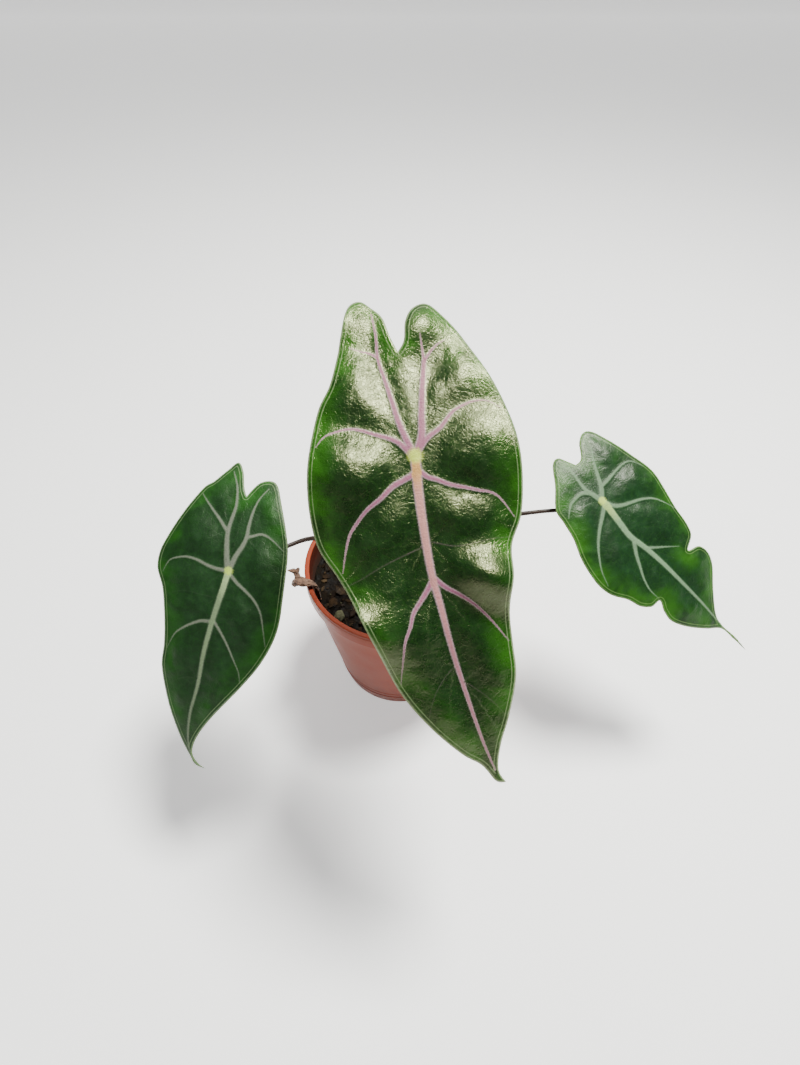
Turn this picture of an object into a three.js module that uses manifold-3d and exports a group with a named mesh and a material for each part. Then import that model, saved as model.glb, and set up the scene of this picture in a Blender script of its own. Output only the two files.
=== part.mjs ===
// A young jewel alocasia in its nursery pot, with three leaves.
// Millimetres, +Z up. The origin is the middle of the pot's flat base, and the plant leans
// its leaves towards -Y, where the light and the viewer are.
import * as THREE from 'three';
import { mergeVertices } from 'three/addons/utils/BufferGeometryUtils.js';
import Module from 'manifold-3d';

const wasm = await Module();
wasm.setup();

// Driving dimensions

const clearance = 0.3; // between pieces that touch

const pot = {
  height: 105,
  rimRadius: 60,
  collarHeight: 9.5,
  collarStep: 2, // how far the collar stands out of the wall
  rimWidth: 3,
  wall: 1.2,
  baseRadius: 42,
  floor: 2,
  drains: { count: 6, circleRadius: 30, radius: 3.5 },
  facets: 56,
};

const crown = { radius: 8.6, bottom: 74, top: 98, scarDepth: 0.5, scars: 3 };

const soil = {
  level: 90,
  swell: 1.6, // height of the low mounds
  chips: { count: 62, smallest: 2.6, largest: 6.2, seed: 11 },
};

const blade = {
  thickness: 0.9,
  cell: 8, // spacing of the points inside a blade
  step: 4.6, // spacing of the points along its margin and veins
  grooveReach: 8, // distance over which the blade dips to a vein
  marginReach: 7, // distance over which the quilting dies out to the margin
  marginQuilt: 0.4, // share of the quilting that is left at the margin
  ribTop: 0.4, // how far the thickest vein stands out of the upper face
  ribUnder: 1.4, // and of the underside
  ribFoot: 0.8, // how far a rib's foot reaches past the vein's own edge
};

// The three blades. Each is drawn flat, in its own X and Y, as it is seen from above: the
// petiole meets it at 0, 0, the two rear lobes are at +Y, and the midrib runs to the tip
// at -Y. Each margin runs from the bottom of the notch between the lobes, round a lobe, down
// to the tip. A vein has its line, its widths at its two ends, and how deep the blade dips
// to it. bend holds the radii of the droop, and the lobes run on straight past straightFrom.
// A swell is a place where the blade is puffed up: its X and Y, its reach and its rise.

const bigBlade = {
  name: 'blade_front',
  place: [5.9, -63.3, 242.5],
  turn: 3, // which way the upper face looks, from -Y towards +X
  rise: 52, // and how far it looks up
  swing: 11.2, // how far the tip hangs to the right of straight down
  bend: { tip: 360, lobes: 85, straightFrom: 20, sides: 300 },
  quilt: 3.4,
  swells: [[13, 54, 12, 4], [-20, 66, 10, 4], [-24, 40, 12, 1.8], [42, 28, 12, 3.5], [46, -6, 16, 5],
    [-38, 6, 12, 3], [-24, -8, 12, 2.5], [12, -51, 10, 5], [24, -57, 10, 6.5], [-38, -59, 9, 8],
    [-28, -69, 11, 6], [-14, -62, 11, 2]],
  leftMargin: [[4, 45], [2.5, 52.5], [1.5, 62.5], [-2, 68.5], [-6, 72.5], [-11.5, 70], [-17, 58],
    [-20.5, 49], [-26, 37], [-33, 27.5], [-39, 13.5], [-43.5, -1], [-45.5, -14.5], [-45, -27],
    [-40.5, -39], [-37, -50], [-32, -69.5], [-27, -89], [-18.5, -106], [-8.5, -120], [-1.5, -127],
    [3, -135.5], [7, -137]],
  rightMargin: [[4, 45], [7.5, 49], [10, 57], [14.5, 63], [21, 64.5], [26, 58], [31.5, 47],
    [36.5, 28.5], [40, 13], [40.5, -2], [39, -18.5], [35.5, -32], [29, -42.5], [26, -53], [22.5, -64],
    [21, -80.5], [19.5, -93.5], [14, -108], [8, -120], [5, -130.5], [7, -137]],
  veins: [
    { width: [3.7, 0.6], dip: 1, line: [[0, 0], [-2, -13.5], [-3.5, -29], [-4.5, -46.5], [-4, -59],
      [-3.5, -74], [-2, -92], [0.5, -114], [3.5, -130.5]] },
    { width: [2.5, 0.6], dip: 1, line: [[-0.5, 1], [-2, 8.5], [-3, 15], [-3.5, 24.5], [-4, 33.5],
      [-4.5, 44.5], [-3, 54.5], [-2.5, 65]] },
    { width: [1.2, 0.4], dip: 0.7, line: [[-4.5, 44.5], [-7, 47], [-11, 49], [-15, 51.5]] },
    { width: [2.9, 1.8], dip: 1, line: [[1, 1], [4.5, 7.5], [6.5, 15.5], [9.5, 26], [13.5, 38.5]] },
    { width: [1.2, 0.4], dip: 1, line: [[13.5, 38.5], [14, 43.5], [14.5, 50]] },
    { width: [1.3, 0.4], dip: 1, line: [[13.5, 38.5], [17, 42], [20.5, 44.5], [24.5, 46]] },
    { width: [2.2, 0.3], dip: 1, line: [[1.5, 1.5], [6.5, 6], [12.5, 9], [18.5, 14], [24, 16],
      [29, 16.5], [34, 15], [38, 11]] },
    { width: [2.2, 0.3], dip: 1, line: [[-1.5, 1], [-4.5, 6], [-8, 9], [-13.5, 12], [-18.5, 15],
      [-23, 16.5], [-28, 16.5], [-33, 15.5], [-37, 12]] },
    { width: [2.2, 0.3], dip: 1, line: [[-2, -7], [-7, -8.5], [-11.5, -10], [-17, -13.5], [-23, -16.5],
      [-27.5, -20], [-32, -24.5], [-35, -30.5], [-38, -38]] },
    { width: [2, 0.3], dip: 1, line: [[-0.5, -5], [2.5, -9], [6, -11], [10.5, -14], [16, -16.5],
      [21.5, -19], [26, -21], [29, -24.5], [32.5, -32]] },
    { width: [2, 0.2], dip: 1, line: [[-4.5, -48.5], [-8, -52.5], [-11, -55.5], [-15, -59.5],
      [-17.5, -64.5], [-20.5, -69], [-22.5, -74.5], [-26, -85.5]] },
    { width: [1.8, 0.3], dip: 1, line: [[-4, -48], [-0.5, -52.5], [3.5, -56], [8, -60.5], [11.5, -65],
      [15, -70.5], [19.5, -79]] },
    { width: [0.5, 0.2], dip: 0.7, line: [[-1, -34.5], [7, -38], [15, -38.5], [22.5, -38.5],
      [29.5, -39.5]] },
    { width: [0.5, 0.2], dip: 0.6, line: [[-6, -35.5], [-13.5, -37], [-22, -39], [-31.5, -42],
      [-38, -43.5]] },
    { width: [0.4, 0.2], dip: 0.5, line: [[-3.5, -83.5], [-9.5, -88], [-14.5, -94], [-18.5, -102]] },
    { width: [0.4, 0.2], dip: 0.5, line: [[-2, -90], [2.5, -94.5], [7.5, -100.5], [12, -108]] },
  ],
};

const leftBlade = {
  name: 'blade_left',
  place: [-85.5, -54.6, 161.5],
  turn: -14,
  rise: 52,
  swing: 0.2,
  bend: { tip: 260, lobes: 110, straightFrom: 60, sides: 220 },
  quilt: 2.4,
  swells: [],
  leftMargin: [[-2, 39], [-5, 43.5], [-9, 52], [-14, 57], [-18, 51.5], [-22.5, 44.5], [-27, 40],
    [-32, 28.5], [-37.5, 13.5], [-40.5, 3.5], [-40, -5.5], [-34.5, -15], [-30.5, -28.5], [-28.5, -42],
    [-28, -54], [-22.5, -71], [-15.5, -86], [-10.5, -94.5], [-8, -98], [-5, -102], [1, -103]],
  rightMargin: [[-2, 39], [-0.5, 42.5], [2.5, 47.5], [7.5, 49.5], [12, 47.5], [17.5, 38],
    [24, 24.5], [28, 12], [30, -8], [30, -25], [25, -41], [16, -56], [2, -75.5], [-5, -87.5], [-7, -96],
    [-3.5, -101], [1, -103]],
  veins: [
    { width: [3.5, 0.8], dip: 1, line: [[0, 0], [-1, -9], [-2.5, -19], [-4, -29.5], [-5.5, -43.5],
      [-6.5, -59.5], [-9, -74.5], [-9.5, -87], [-8, -96.5]] },
    { width: [3, 0.5], dip: 1, line: [[-1, 1.5], [-3.5, 10], [-5.5, 19], [-5.5, 26.5],
      [-5.5, 33.5], [-8.5, 43], [-14, 51.5]] },
    { width: [1.8, 0.5], dip: 1, line: [[-5.5, 19], [-11.5, 24.5], [-17, 29], [-26, 36.5]] },
    { width: [2.8, 0.5], dip: 1, line: [[0.5, 1.5], [2, 8], [4, 13], [5, 18], [4.5, 24.5],
      [4.5, 31.5], [5.5, 38.5], [8.5, 45]] },
    { width: [1.6, 0.4], dip: 1, line: [[5, 18], [8.5, 19.5], [12, 21], [16.5, 20], [21, 17.5],
      [25.5, 14.5]] },
    { width: [2, 0.4], dip: 1, line: [[-0.5, 0], [-7, 0], [-12.5, 1], [-18, 2.5], [-23.5, 3],
      [-28.5, 2], [-33.5, -0.5], [-36, -6.5]] },
    { width: [1.8, 0.4], dip: 1, line: [[0.5, -1], [5.5, -5], [10.5, -8], [15.5, -11.5], [19.5, -16],
      [22, -21.5], [25.5, -33]] },
    { width: [1.8, 0.3], dip: 1, line: [[-4, -26.5], [-9.5, -27], [-14.5, -29.5], [-19, -32.5],
      [-23, -36.5], [-26, -44]] },
    { width: [1.5, 0.4], dip: 1, line: [[-3, -25.5], [2.5, -31.5], [6.5, -36.5], [10.5, -42.5], [14, -48],
      [15.5, -53.5]] },
    { width: [0.4, 0.2], dip: 0.5, line: [[-2, -14.5], [-12, -14], [-22, -14], [-31, -17.5]] },
    { width: [0.4, 0.2], dip: 0.5, line: [[-6.5, -56], [-13, -56.5], [-19, -59.5], [-24, -64]] },
  ],
};

const rightBlade = {
  name: 'blade_right',
  place: [111.1, -7.4, 164.7],
  turn: 10,
  rise: 55,
  swing: 35.1,
  bend: { tip: 260, lobes: 110, straightFrom: 60, sides: 220 },
  quilt: 3,
  swells: [],
  leftMargin: [[4.5, 24], [3, 28], [0.5, 33.5], [-4.5, 32.5], [-13, 23.5], [-22.5, 14],
    [-24.5, 6], [-27, -4], [-31, -14], [-33, -23.5], [-33.5, -33], [-31.5, -41], [-26.5, -49],
    [-23.5, -56.5], [-18.5, -61.5], [-12.5, -62.5], [-14.5, -68.5], [-14.5, -76], [-9, -85.5], [0, -95.5],
    [8.5, -103.5], [11.5, -114], [15, -127]],
  rightMargin: [[4.5, 24], [9.5, 24.5], [16.5, 31.5], [23, 34], [27, 31], [29.5, 22], [33, 6.5],
    [35.5, -7], [33.5, -19.5], [31, -31.5], [29.5, -43], [27, -49.5], [19.5, -54], [26.5, -57], [29, -63.5],
    [26.5, -71], [17.5, -82], [10.5, -94], [10, -102.5], [13, -114.5], [15, -127]],
  veins: [
    { width: [4.1, 0.8], dip: 1, line: [[0, 0], [-0.5, -7], [-1.5, -16], [-2, -25], [0.5, -36], [2.5, -49],
      [4.5, -66], [7, -84], [9.5, -102.5]] },
    { width: [3, 0.4], dip: 1, line: [[-0.5, 1], [-1.5, 6], [-2.5, 10.5], [-1.5, 17], [-0.5, 22],
      [-1, 27], [-3, 30]] },
    { width: [2.2, 0.6], dip: 1, line: [[-1.5, 7], [-5.5, 10.5], [-10, 11], [-15.5, 10],
      [-21, 6]] },
    { width: [3, 0.6], dip: 1, line: [[1, 1.5], [5, 5.5], [9, 12], [13.5, 19], [18.5, 25]] },
    { width: [1.9, 0.4], dip: 1, line: [[5.5, 6], [11.5, 6], [17.5, 6.5], [24, 6.5], [29.5, 4.5],
      [33, -2.5]] },
    { width: [2.5, 0.4], dip: 1, line: [[1, -2.5], [3, -6.5], [7, -9.5], [12.5, -12], [18.5, -15],
      [23.5, -19], [27, -24.5], [30, -31.5]] },
    { width: [2.5, 0.4], dip: 1, line: [[-1, -2.5], [-7, -6.5], [-12.5, -10], [-18.5, -15], [-23.5, -21],
      [-27.5, -27.5], [-30, -35.5]] },
    { width: [1.8, 0.4], dip: 1, line: [[0, -35], [5.5, -39.5], [10.5, -43.5], [16.5, -48.5]] },
    { width: [2.5, 0.4], dip: 1, line: [[-2, -27.5], [-6.5, -34.5], [-9, -40], [-12, -46.5], [-13.5, -53.5],
      [-12.5, -61]] },
    { width: [0.5, 0.2], dip: 0.5, line: [[-1, -21], [5, -23], [11, -26.5], [17, -31]] },
  ],
};

// The petioles, from their sheathing feet on the crown to the undersides of the blades.
// seat is the direction of the foot on the crown's top, from +X, and the line's points come
// between the foot and the blade. The last few millimetres turn square to the blade.

const petiole = {
  footRadius: 3.5,
  seatRadius: 4.4,
  stalkRadius: 1.9, // above the sheath
  neckRadius: 1.15, // under the blade
  taperShare: 5 / 7, // share of the length over which the stalk narrows
  sheathShare: 0.3, // of the petiole's length
  sheathGroove: 0.3, // depth of the sheath's groove, as a share of its radius
  straight: 5, // length that stands square to the blade
  sides: 10,
};

const petioles = [
  { name: 'petiole_front', of: bigBlade, seat: -90, steps: 18,
    line: [[3, -6, 135], [4, -20, 175], [5, -41, 213]] },
  { name: 'petiole_left', of: leftBlade, seat: 150, steps: 16,
    line: [[-9, -1, 109], [-22, -9, 126], [-46.5, -22, 150.5], [-60.5, -32.5, 155.2],
      [-78, -46.5, 155.5]] },
  { name: 'petiole_right', of: rightBlade, seat: 30, steps: 16,
    line: [[9, 1.5, 110], [30, -2, 134], [57, -4.5, 149], [78, -5, 154], [101, -4.5, 156.5]] },
];

const drySheath = { height: 30, radius: 8.95, lean: 3.5, thickness: 0.7, spread: 42, facing: 90 };

// The withered leaf goes over the pot's rim. Its points run along the middle of the roll,
// from the soil outwards, each with the roll's half width and half thickness.
const witheredLeaf = {
  roll: [[-50.5, -17.5, 89.6, 1.5, 1], [-51, -17.8, 97, 1.9, 1.1], [-51.9, -18.2, 103.8, 2.5, 1.2],
    [-54.8, -18.6, 106.9, 3.6, 1.3], [-58.5, -18.8, 107.4, 4.6, 1.5], [-61.5, -18, 107.8, 5, 1.9],
    [-63.6, -18.8, 107, 4, 2], [-64.8, -20, 105.8, 2.2, 1.4]],
  clear: { x: -50, y: -17.5, room: 5 }, // where it stands on the soil, bare of chips
  horn: [[-62.2, -16, 108, 2, 1.5], [-63.2, -13.4, 109.4, 1.6, 1.3], [-64.4, -12.6, 110.8, 1.6, 1.2],
    [-66.2, -13.4, 112, 1.1, 0.9], [-68, -14, 113, 0.4, 0.4]],
  ear: [[-63.4, -13.4, 109.6, 1.4, 1.2], [-62.6, -11.6, 110.4, 1.3, 1.1], [-62, -10.2, 110.8, 0.7, 0.7]],
  crumple: 0.32,
  sides: 10,
  seed: 5,
};

// Small helpers

const radians = THREE.MathUtils.degToRad;
const lerp = THREE.MathUtils.lerp;
const flat = ([x, y]) => new THREE.Vector2(x, y);
const solidPoint = ([x, y, z]) => new THREE.Vector3(x, y, z);

// A repeatable stream of numbers from 0 to 1.
function seededRandom(seed) {
  let state = seed >>> 0;
  return () => {
    state = (state + 0x6d2b79f5) >>> 0;
    let mixed = Math.imul(state ^ (state >>> 15), 1 | state);
    mixed = (mixed + Math.imul(mixed ^ (mixed >>> 7), 61 | mixed)) ^ mixed;
    return ((mixed ^ (mixed >>> 14)) >>> 0) / 4294967296;
  };
}

function geometryOf(points, triangles) {
  const geometry = new THREE.BufferGeometry();
  const numbers = points.flatMap((point) => [point.x, point.y, point.z]);
  geometry.setAttribute('position', new THREE.Float32BufferAttribute(numbers, 3));
  geometry.setIndex(triangles.flat());
  return geometry;
}

function toSolid(geometry) {
  const bare = geometry.clone();
  bare.deleteAttribute('normal');
  bare.deleteAttribute('uv');
  const merged = mergeVertices(bare, 1e-4);
  return new wasm.Manifold(new wasm.Mesh({
    numProp: 3,
    vertProperties: new Float32Array(merged.attributes.position.array),
    triVerts: new Uint32Array(merged.index.array),
  }));
}

function fromSolid(solid) {
  const mesh = solid.getMesh();
  const geometry = new THREE.BufferGeometry();
  geometry.setAttribute('position', new THREE.BufferAttribute(mesh.vertProperties, 3));
  geometry.setIndex(new THREE.BufferAttribute(mesh.triVerts, 1));
  return geometry;
}

// A profile of [radius, height] pairs turned about the Z axis.
function turned(profile, facets) {
  return new THREE.LatheGeometry(profile.map(flat), facets).rotateX(Math.PI / 2);
}

function upright(radius, bottom, top, facets) {
  return turned([[0, bottom], [radius, bottom], [radius, top], [0, top]], facets);
}

// Rings of points, each anticlockwise seen against the way they follow one another, closed
// at both ends by a fan.
function loft(rings) {
  const sides = rings[0].length;
  const points = rings.flat();
  const triangles = [];
  for (let ring = 0; ring + 1 < rings.length; ring += 1) {
    for (let side = 0; side < sides; side += 1) {
      const a = ring * sides + side;
      const b = ring * sides + ((side + 1) % sides);
      triangles.push([a, b, b + sides], [a, b + sides, a + sides]);
    }
  }
  const centreOf = (ring) => ring.reduce((sum, p) => sum.add(p), new THREE.Vector3()).divideScalar(sides);
  const first = points.push(centreOf(rings[0])) - 1;
  const last = points.push(centreOf(rings.at(-1))) - 1;
  const lastRing = (rings.length - 1) * sides;
  for (let side = 0; side < sides; side += 1) {
    const next = (side + 1) % sides;
    triangles.push([first, next, side], [last, lastRing + side, lastRing + next]);
  }
  return geometryOf(points, triangles);
}

// A loft along a curve. radiusAt(share, angle) gives the section's radius.
function sweep(curve, steps, sides, radiusAt) {
  const frames = curve.computeFrenetFrames(steps, false);
  const rings = [];
  for (let step = 0; step <= steps; step += 1) {
    const centre = curve.getPointAt(step / steps);
    rings.push(Array.from({ length: sides }, (_, side) => {
      const angle = (2 * Math.PI * side) / sides;
      const radius = radiusAt(step / steps, angle);
      return centre.clone()
        .addScaledVector(frames.normals[step], radius * Math.cos(angle))
        .addScaledVector(frames.binormals[step], radius * Math.sin(angle));
    }));
  }
  return loft(rings);
}

// The pot and what it holds

const collarFoot = pot.height - pot.collarHeight;

// The inside of the pot: a cone up to the collar, and nearly straight inside it.
const innerRadius = (z) => {
  const collarInside = pot.rimRadius - pot.collarStep - pot.wall;
  if (z > collarFoot) {
    return lerp(collarInside, pot.rimRadius - pot.rimWidth, (z - collarFoot) / pot.collarHeight);
  }
  return lerp(pot.baseRadius - pot.wall, collarInside, (z - pot.floor) / (collarFoot - pot.floor));
};

function potGeometry() {
  const rounding = 0.7;
  const profile = [
    [0, 0], [pot.baseRadius - 1, 0], [pot.baseRadius, 1],
    [innerRadius(collarFoot) + pot.wall, collarFoot],
    [pot.rimRadius - 0.4, collarFoot],
    [pot.rimRadius, collarFoot + rounding],
    [pot.rimRadius, pot.height - rounding],
    [pot.rimRadius - rounding, pot.height],
    [pot.rimRadius - pot.rimWidth + rounding, pot.height],
    [innerRadius(pot.height - rounding), pot.height - rounding],
    [innerRadius(collarFoot), collarFoot],
    [innerRadius(pot.floor + 2), pot.floor + 2],
    [innerRadius(pot.floor) - 1.5, pot.floor],
    [0, pot.floor],
  ];
  let body = toSolid(turned(profile, pot.facets));
  const { count, circleRadius, radius } = pot.drains;
  for (let drain = 0; drain < count; drain += 1) {
    const angle = (2 * Math.PI * drain) / count;
    const hole = upright(radius, -1, pot.floor + 1, 12);
    hole.translate(circleRadius * Math.cos(angle), circleRadius * Math.sin(angle), 0);
    body = body.subtract(toSolid(hole));
  }
  return fromSolid(body);
}

const soilHeight = (x, y) => soil.level
  + soil.swell * Math.sin(x / 11 + 0.6) * Math.cos(y / 9 - 0.8)
  + 0.5 * soil.swell * Math.sin((x + y) / 5.3);

function soilGeometry() {
  const facets = 40;
  const topRadius = innerRadius(soil.level) - clearance;
  const holeRadius = crown.radius + clearance;
  const bottom = pot.floor + clearance;
  const ring = (radius, heightOf) => Array.from({ length: facets }, (_, side) => {
    const angle = (2 * Math.PI * side) / facets;
    const x = radius * Math.cos(angle);
    const y = radius * Math.sin(angle);
    return new THREE.Vector3(x, y, heightOf(x, y));
  });
  const rings = [
    ring(innerRadius(bottom) - 2, () => bottom),
    ring(innerRadius(bottom + 2) - clearance, () => bottom + 2),
    ring(topRadius - 0.8, soilHeight),
    ...[0.84, 0.66, 0.48, 0.32].map((share) => ring(share * topRadius, soilHeight)),
    ring(holeRadius, soilHeight),
    ring(holeRadius, () => crown.bottom - clearance),
  ];
  let body = toSolid(loft(rings));

  const random = seededRandom(soil.chips.seed);
  for (let chip = 0; chip < soil.chips.count; chip += 1) {
    const size = lerp(soil.chips.smallest, soil.chips.largest, random() ** 1.6);
    const angle = 2 * Math.PI * random();
    const reach = lerp(holeRadius + 2 + size, topRadius - 3, Math.sqrt(random()));
    const length = 2 * size * lerp(0.6, 1, random());
    const piece = new THREE.BoxGeometry(length, 1.3 * size, size * lerp(0.5, 0.9, random()));
    piece.applyMatrix4(new THREE.Matrix4().makeShear(0.3 * random(), 0, 0, 0.4 * random(), 0.3, 0));
    piece.rotateX(0.7 * (random() - 0.5));
    piece.rotateY(0.9 * (random() - 0.5));
    piece.rotateZ(2 * Math.PI * random());
    const x = reach * Math.cos(angle);
    const y = reach * Math.sin(angle);
    piece.translate(x, y, soilHeight(x, y) + 0.12 * size);
    const { clear } = witheredLeaf;
    if (Math.hypot(x - clear.x, y - clear.y) > clear.room + size) {
      body = body.add(toSolid(piece));
    }
  }

  // The chips stop short of the pot's wall and of the crown in its hole.
  const inside = toSolid(turned([[0, 0], ...[0, collarFoot, pot.height].map(
    (z) => [innerRadius(z) - clearance, z]), [0, pot.height]], pot.facets));
  const hole = toSolid(upright(holeRadius, crown.bottom - clearance, pot.height, facets));
  return fromSolid(body.intersect(inside).subtract(hole));
}

// The short stem that the petioles stand on, ringed by the scars of old leaves.
function crownGeometry() {
  const levels = 10;
  const profile = [[0, crown.bottom]];
  for (let level = 0; level <= levels; level += 1) {
    const share = level / levels;
    const body = crown.radius * Math.min(1, 0.45 + 1.1 * share);
    const scar = crown.scarDepth * Math.abs(Math.sin(Math.PI * crown.scars * share));
    profile.push([body - scar, lerp(crown.bottom, crown.top, share)]);
  }
  profile.push([0, crown.top]);
  return turned(profile, 18);
}

// The papery scale that once wrapped the youngest leaf: a curved triangle standing on the soil.
function drySheathGeometry() {
  const rows = 8;
  const columns = 8;
  const foot = soil.level + soil.swell + 1.6;
  const pointAt = (row, column, outward) => {
    const up = row / rows;
    const halfAngle = radians(drySheath.spread) * (1 - 0.93 * up ** 1.5);
    const angle = radians(drySheath.facing) + halfAngle * (2 * (column / columns) - 1);
    const radius = drySheath.radius + drySheath.lean * up ** 2 + outward * drySheath.thickness;
    const z = foot + drySheath.height * up;
    return new THREE.Vector3(radius * Math.cos(angle), radius * Math.sin(angle), z);
  };
  const points = [];
  for (const outward of [0, 1]) {
    for (let row = 0; row <= rows; row += 1) {
      for (let column = 0; column <= columns; column += 1) {
        points.push(pointAt(row, column, outward));
      }
    }
  }
  const triangles = [];
  const layer = (rows + 1) * (columns + 1);
  for (let row = 0; row < rows; row += 1) {
    for (let column = 0; column < columns; column += 1) {
      const a = row * (columns + 1) + column;
      const above = a + columns + 1;
      triangles.push([a, above, above + 1], [a, above + 1, a + 1]);
    }
  }
  return thickened(points.slice(0, layer), points.slice(layer), triangles);
}

// Two like faces, closed by a wall along their open edge. The triangles are those of the
// first face, seen from outside, and the second face has them turned over.
function thickened(first, second, triangles) {
  const count = first.length;
  const edges = new Map();
  for (const [a, b, c] of triangles) {
    for (const [from, to] of [[a, b], [b, c], [c, a]]) {
      const back = `${to},${from}`;
      if (edges.has(back)) {
        edges.delete(back);
      } else {
        edges.set(`${from},${to}`, [from, to]);
      }
    }
  }
  const all = triangles.flatMap(([a, b, c]) => [[a, b, c], [a + count, c + count, b + count]]);
  for (const [from, to] of edges.values()) {
    all.push([to, from, from + count], [to, from + count, to + count]);
  }
  return geometryOf([...first, ...second], all);
}

// Blades

// Points at even steps along a smooth line, with the share of the line's length at each.
function along(line, step) {
  const curve = new THREE.SplineCurve(line.map(flat));
  const count = Math.max(2, Math.round(curve.getLength() / step));
  return curve.getSpacedPoints(count).map((point, index) => ({ point, share: index / count }));
}

class BladeForm {
  constructor(shape) {
    this.shape = shape;
    this.veins = shape.veins.map((vein) => ({ ...vein, path: along(vein.line, 1.5) }));
    const left = along(shape.leftMargin, blade.step).map(({ point }) => point);
    const right = along(shape.rightMargin, blade.step).map(({ point }) => point);
    this.outline = [...left, ...right.reverse().slice(1, -1)];
  }

  // The distance to a vein, and how far along it the nearest point is.
  static nearest(path, x, y) {
    let best = { distance: Infinity, share: 0 };
    for (let index = 0; index + 1 < path.length; index += 1) {
      const start = path[index];
      const end = path[index + 1];
      const dx = end.point.x - start.point.x;
      const dy = end.point.y - start.point.y;
      const run = THREE.MathUtils.clamp(
        ((x - start.point.x) * dx + (y - start.point.y) * dy) / (dx * dx + dy * dy), 0, 1);
      const distance = Math.hypot(x - start.point.x - run * dx, y - start.point.y - run * dy);
      if (distance < best.distance) {
        best = { distance, share: lerp(start.share, end.share, run) };
      }
    }
    return best;
  }

  marginDistance(x, y) {
    const closed = [...this.outline, this.outline[0]].map((point) => ({ point, share: 0 }));
    return BladeForm.nearest(closed, x, y).distance;
  }

  // How far the blade has drooped, along its length and to its sides.
  droop(x, y) {
    const { bend } = this.shape;
    const bent = Math.min(y, bend.straightFrom);
    const lengthwise = y > 0 ? (bent * (y - bent / 2)) / bend.lobes : (y * y) / (2 * bend.tip);
    return lengthwise + (x * x) / (2 * bend.sides);
  }

  // The middle of the blade's thickness: the droop, the quilting between the veins and the swells.
  height(x, y) {
    const { quilt, swells } = this.shape;
    let raised = quilt;
    for (const vein of this.veins) {
      const { distance, share } = BladeForm.nearest(vein.path, x, y);
      const depth = vein.dip * (1 - 0.5 * share * share);
      raised *= 1 - depth * Math.exp(-((distance / blade.grooveReach) ** 2));
    }
    const inward = 1 - Math.exp(-((this.marginDistance(x, y) / blade.marginReach) ** 2));
    const swollen = swells.reduce((sum, [middleX, middleY, reach, rise]) => (
      sum + rise * Math.exp(-((x - middleX) ** 2 + (y - middleY) ** 2) / reach ** 2)), 0);
    return raised * lerp(blade.marginQuilt, 1, inward) + swollen - this.droop(x, y);
  }

  // The veins' relief, from 0 between the ribs to 1 on the thickest one.
  relief(x, y) {
    const thickest = this.veins[0].width[0];
    let highest = 0;
    for (const vein of this.veins) {
      const { distance, share } = BladeForm.nearest(vein.path, x, y);
      const width = lerp(...vein.width, share);
      const slope = Math.max(0, 1 - distance / (width / 2 + blade.ribFoot));
      highest = Math.max(highest, (slope * width) / thickest);
    }
    return highest;
  }

  contains(x, y) {
    let inside = false;
    const { outline } = this;
    for (let index = 0, before = outline.length - 1; index < outline.length; before = index, index += 1) {
      const a = outline[index];
      const b = outline[before];
      if ((a.y > y) !== (b.y > y) && x < ((b.x - a.x) * (y - a.y)) / (b.y - a.y) + a.x) {
        inside = !inside;
      }
    }
    return inside;
  }

  // The margin, then each vein with a row of points on both sides of it, then a staggered
  // grid in the quilts between. A point that comes too near an earlier one is left out.
  points() {
    const kept = [...this.outline];
    const add = (x, y, room, marginRoom) => {
      const free = kept.every((p) => Math.hypot(p.x - x, p.y - y) > room);
      if (free && this.contains(x, y) && this.marginDistance(x, y) > marginRoom) {
        kept.push(new THREE.Vector2(x, y));
      }
    };
    for (const vein of this.veins.filter(({ width }) => width[0] > 1)) {
      const path = along(vein.line, blade.step);
      path.forEach(({ point, share }, index) => {
        const before = path[Math.max(0, index - 1)].point;
        const after = path[Math.min(path.length - 1, index + 1)].point;
        const across = new THREE.Vector2(before.y - after.y, after.x - before.x).normalize();
        const foot = lerp(...vein.width, share) / 2 + blade.ribFoot;
        add(point.x, point.y, 0.9, 1);
        for (const side of [-1, 1]) {
          add(point.x + side * foot * across.x, point.y + side * foot * across.y, 0.9, 1);
        }
      });
    }
    const rowHeight = blade.cell * Math.sin(radians(60));
    const reach = { lobes: 12, tip: 20, sides: 8 }; // the grid's rows and columns from 0, 0
    for (let row = -reach.tip; row < reach.lobes; row += 1) {
      for (let column = -reach.sides; column <= reach.sides; column += 1) {
        const x = (column + (row % 2) / 2) * blade.cell;
        add(x, row * rowHeight, blade.cell * 0.55, blade.cell * 0.4);
      }
    }
    return kept;
  }
}

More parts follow.
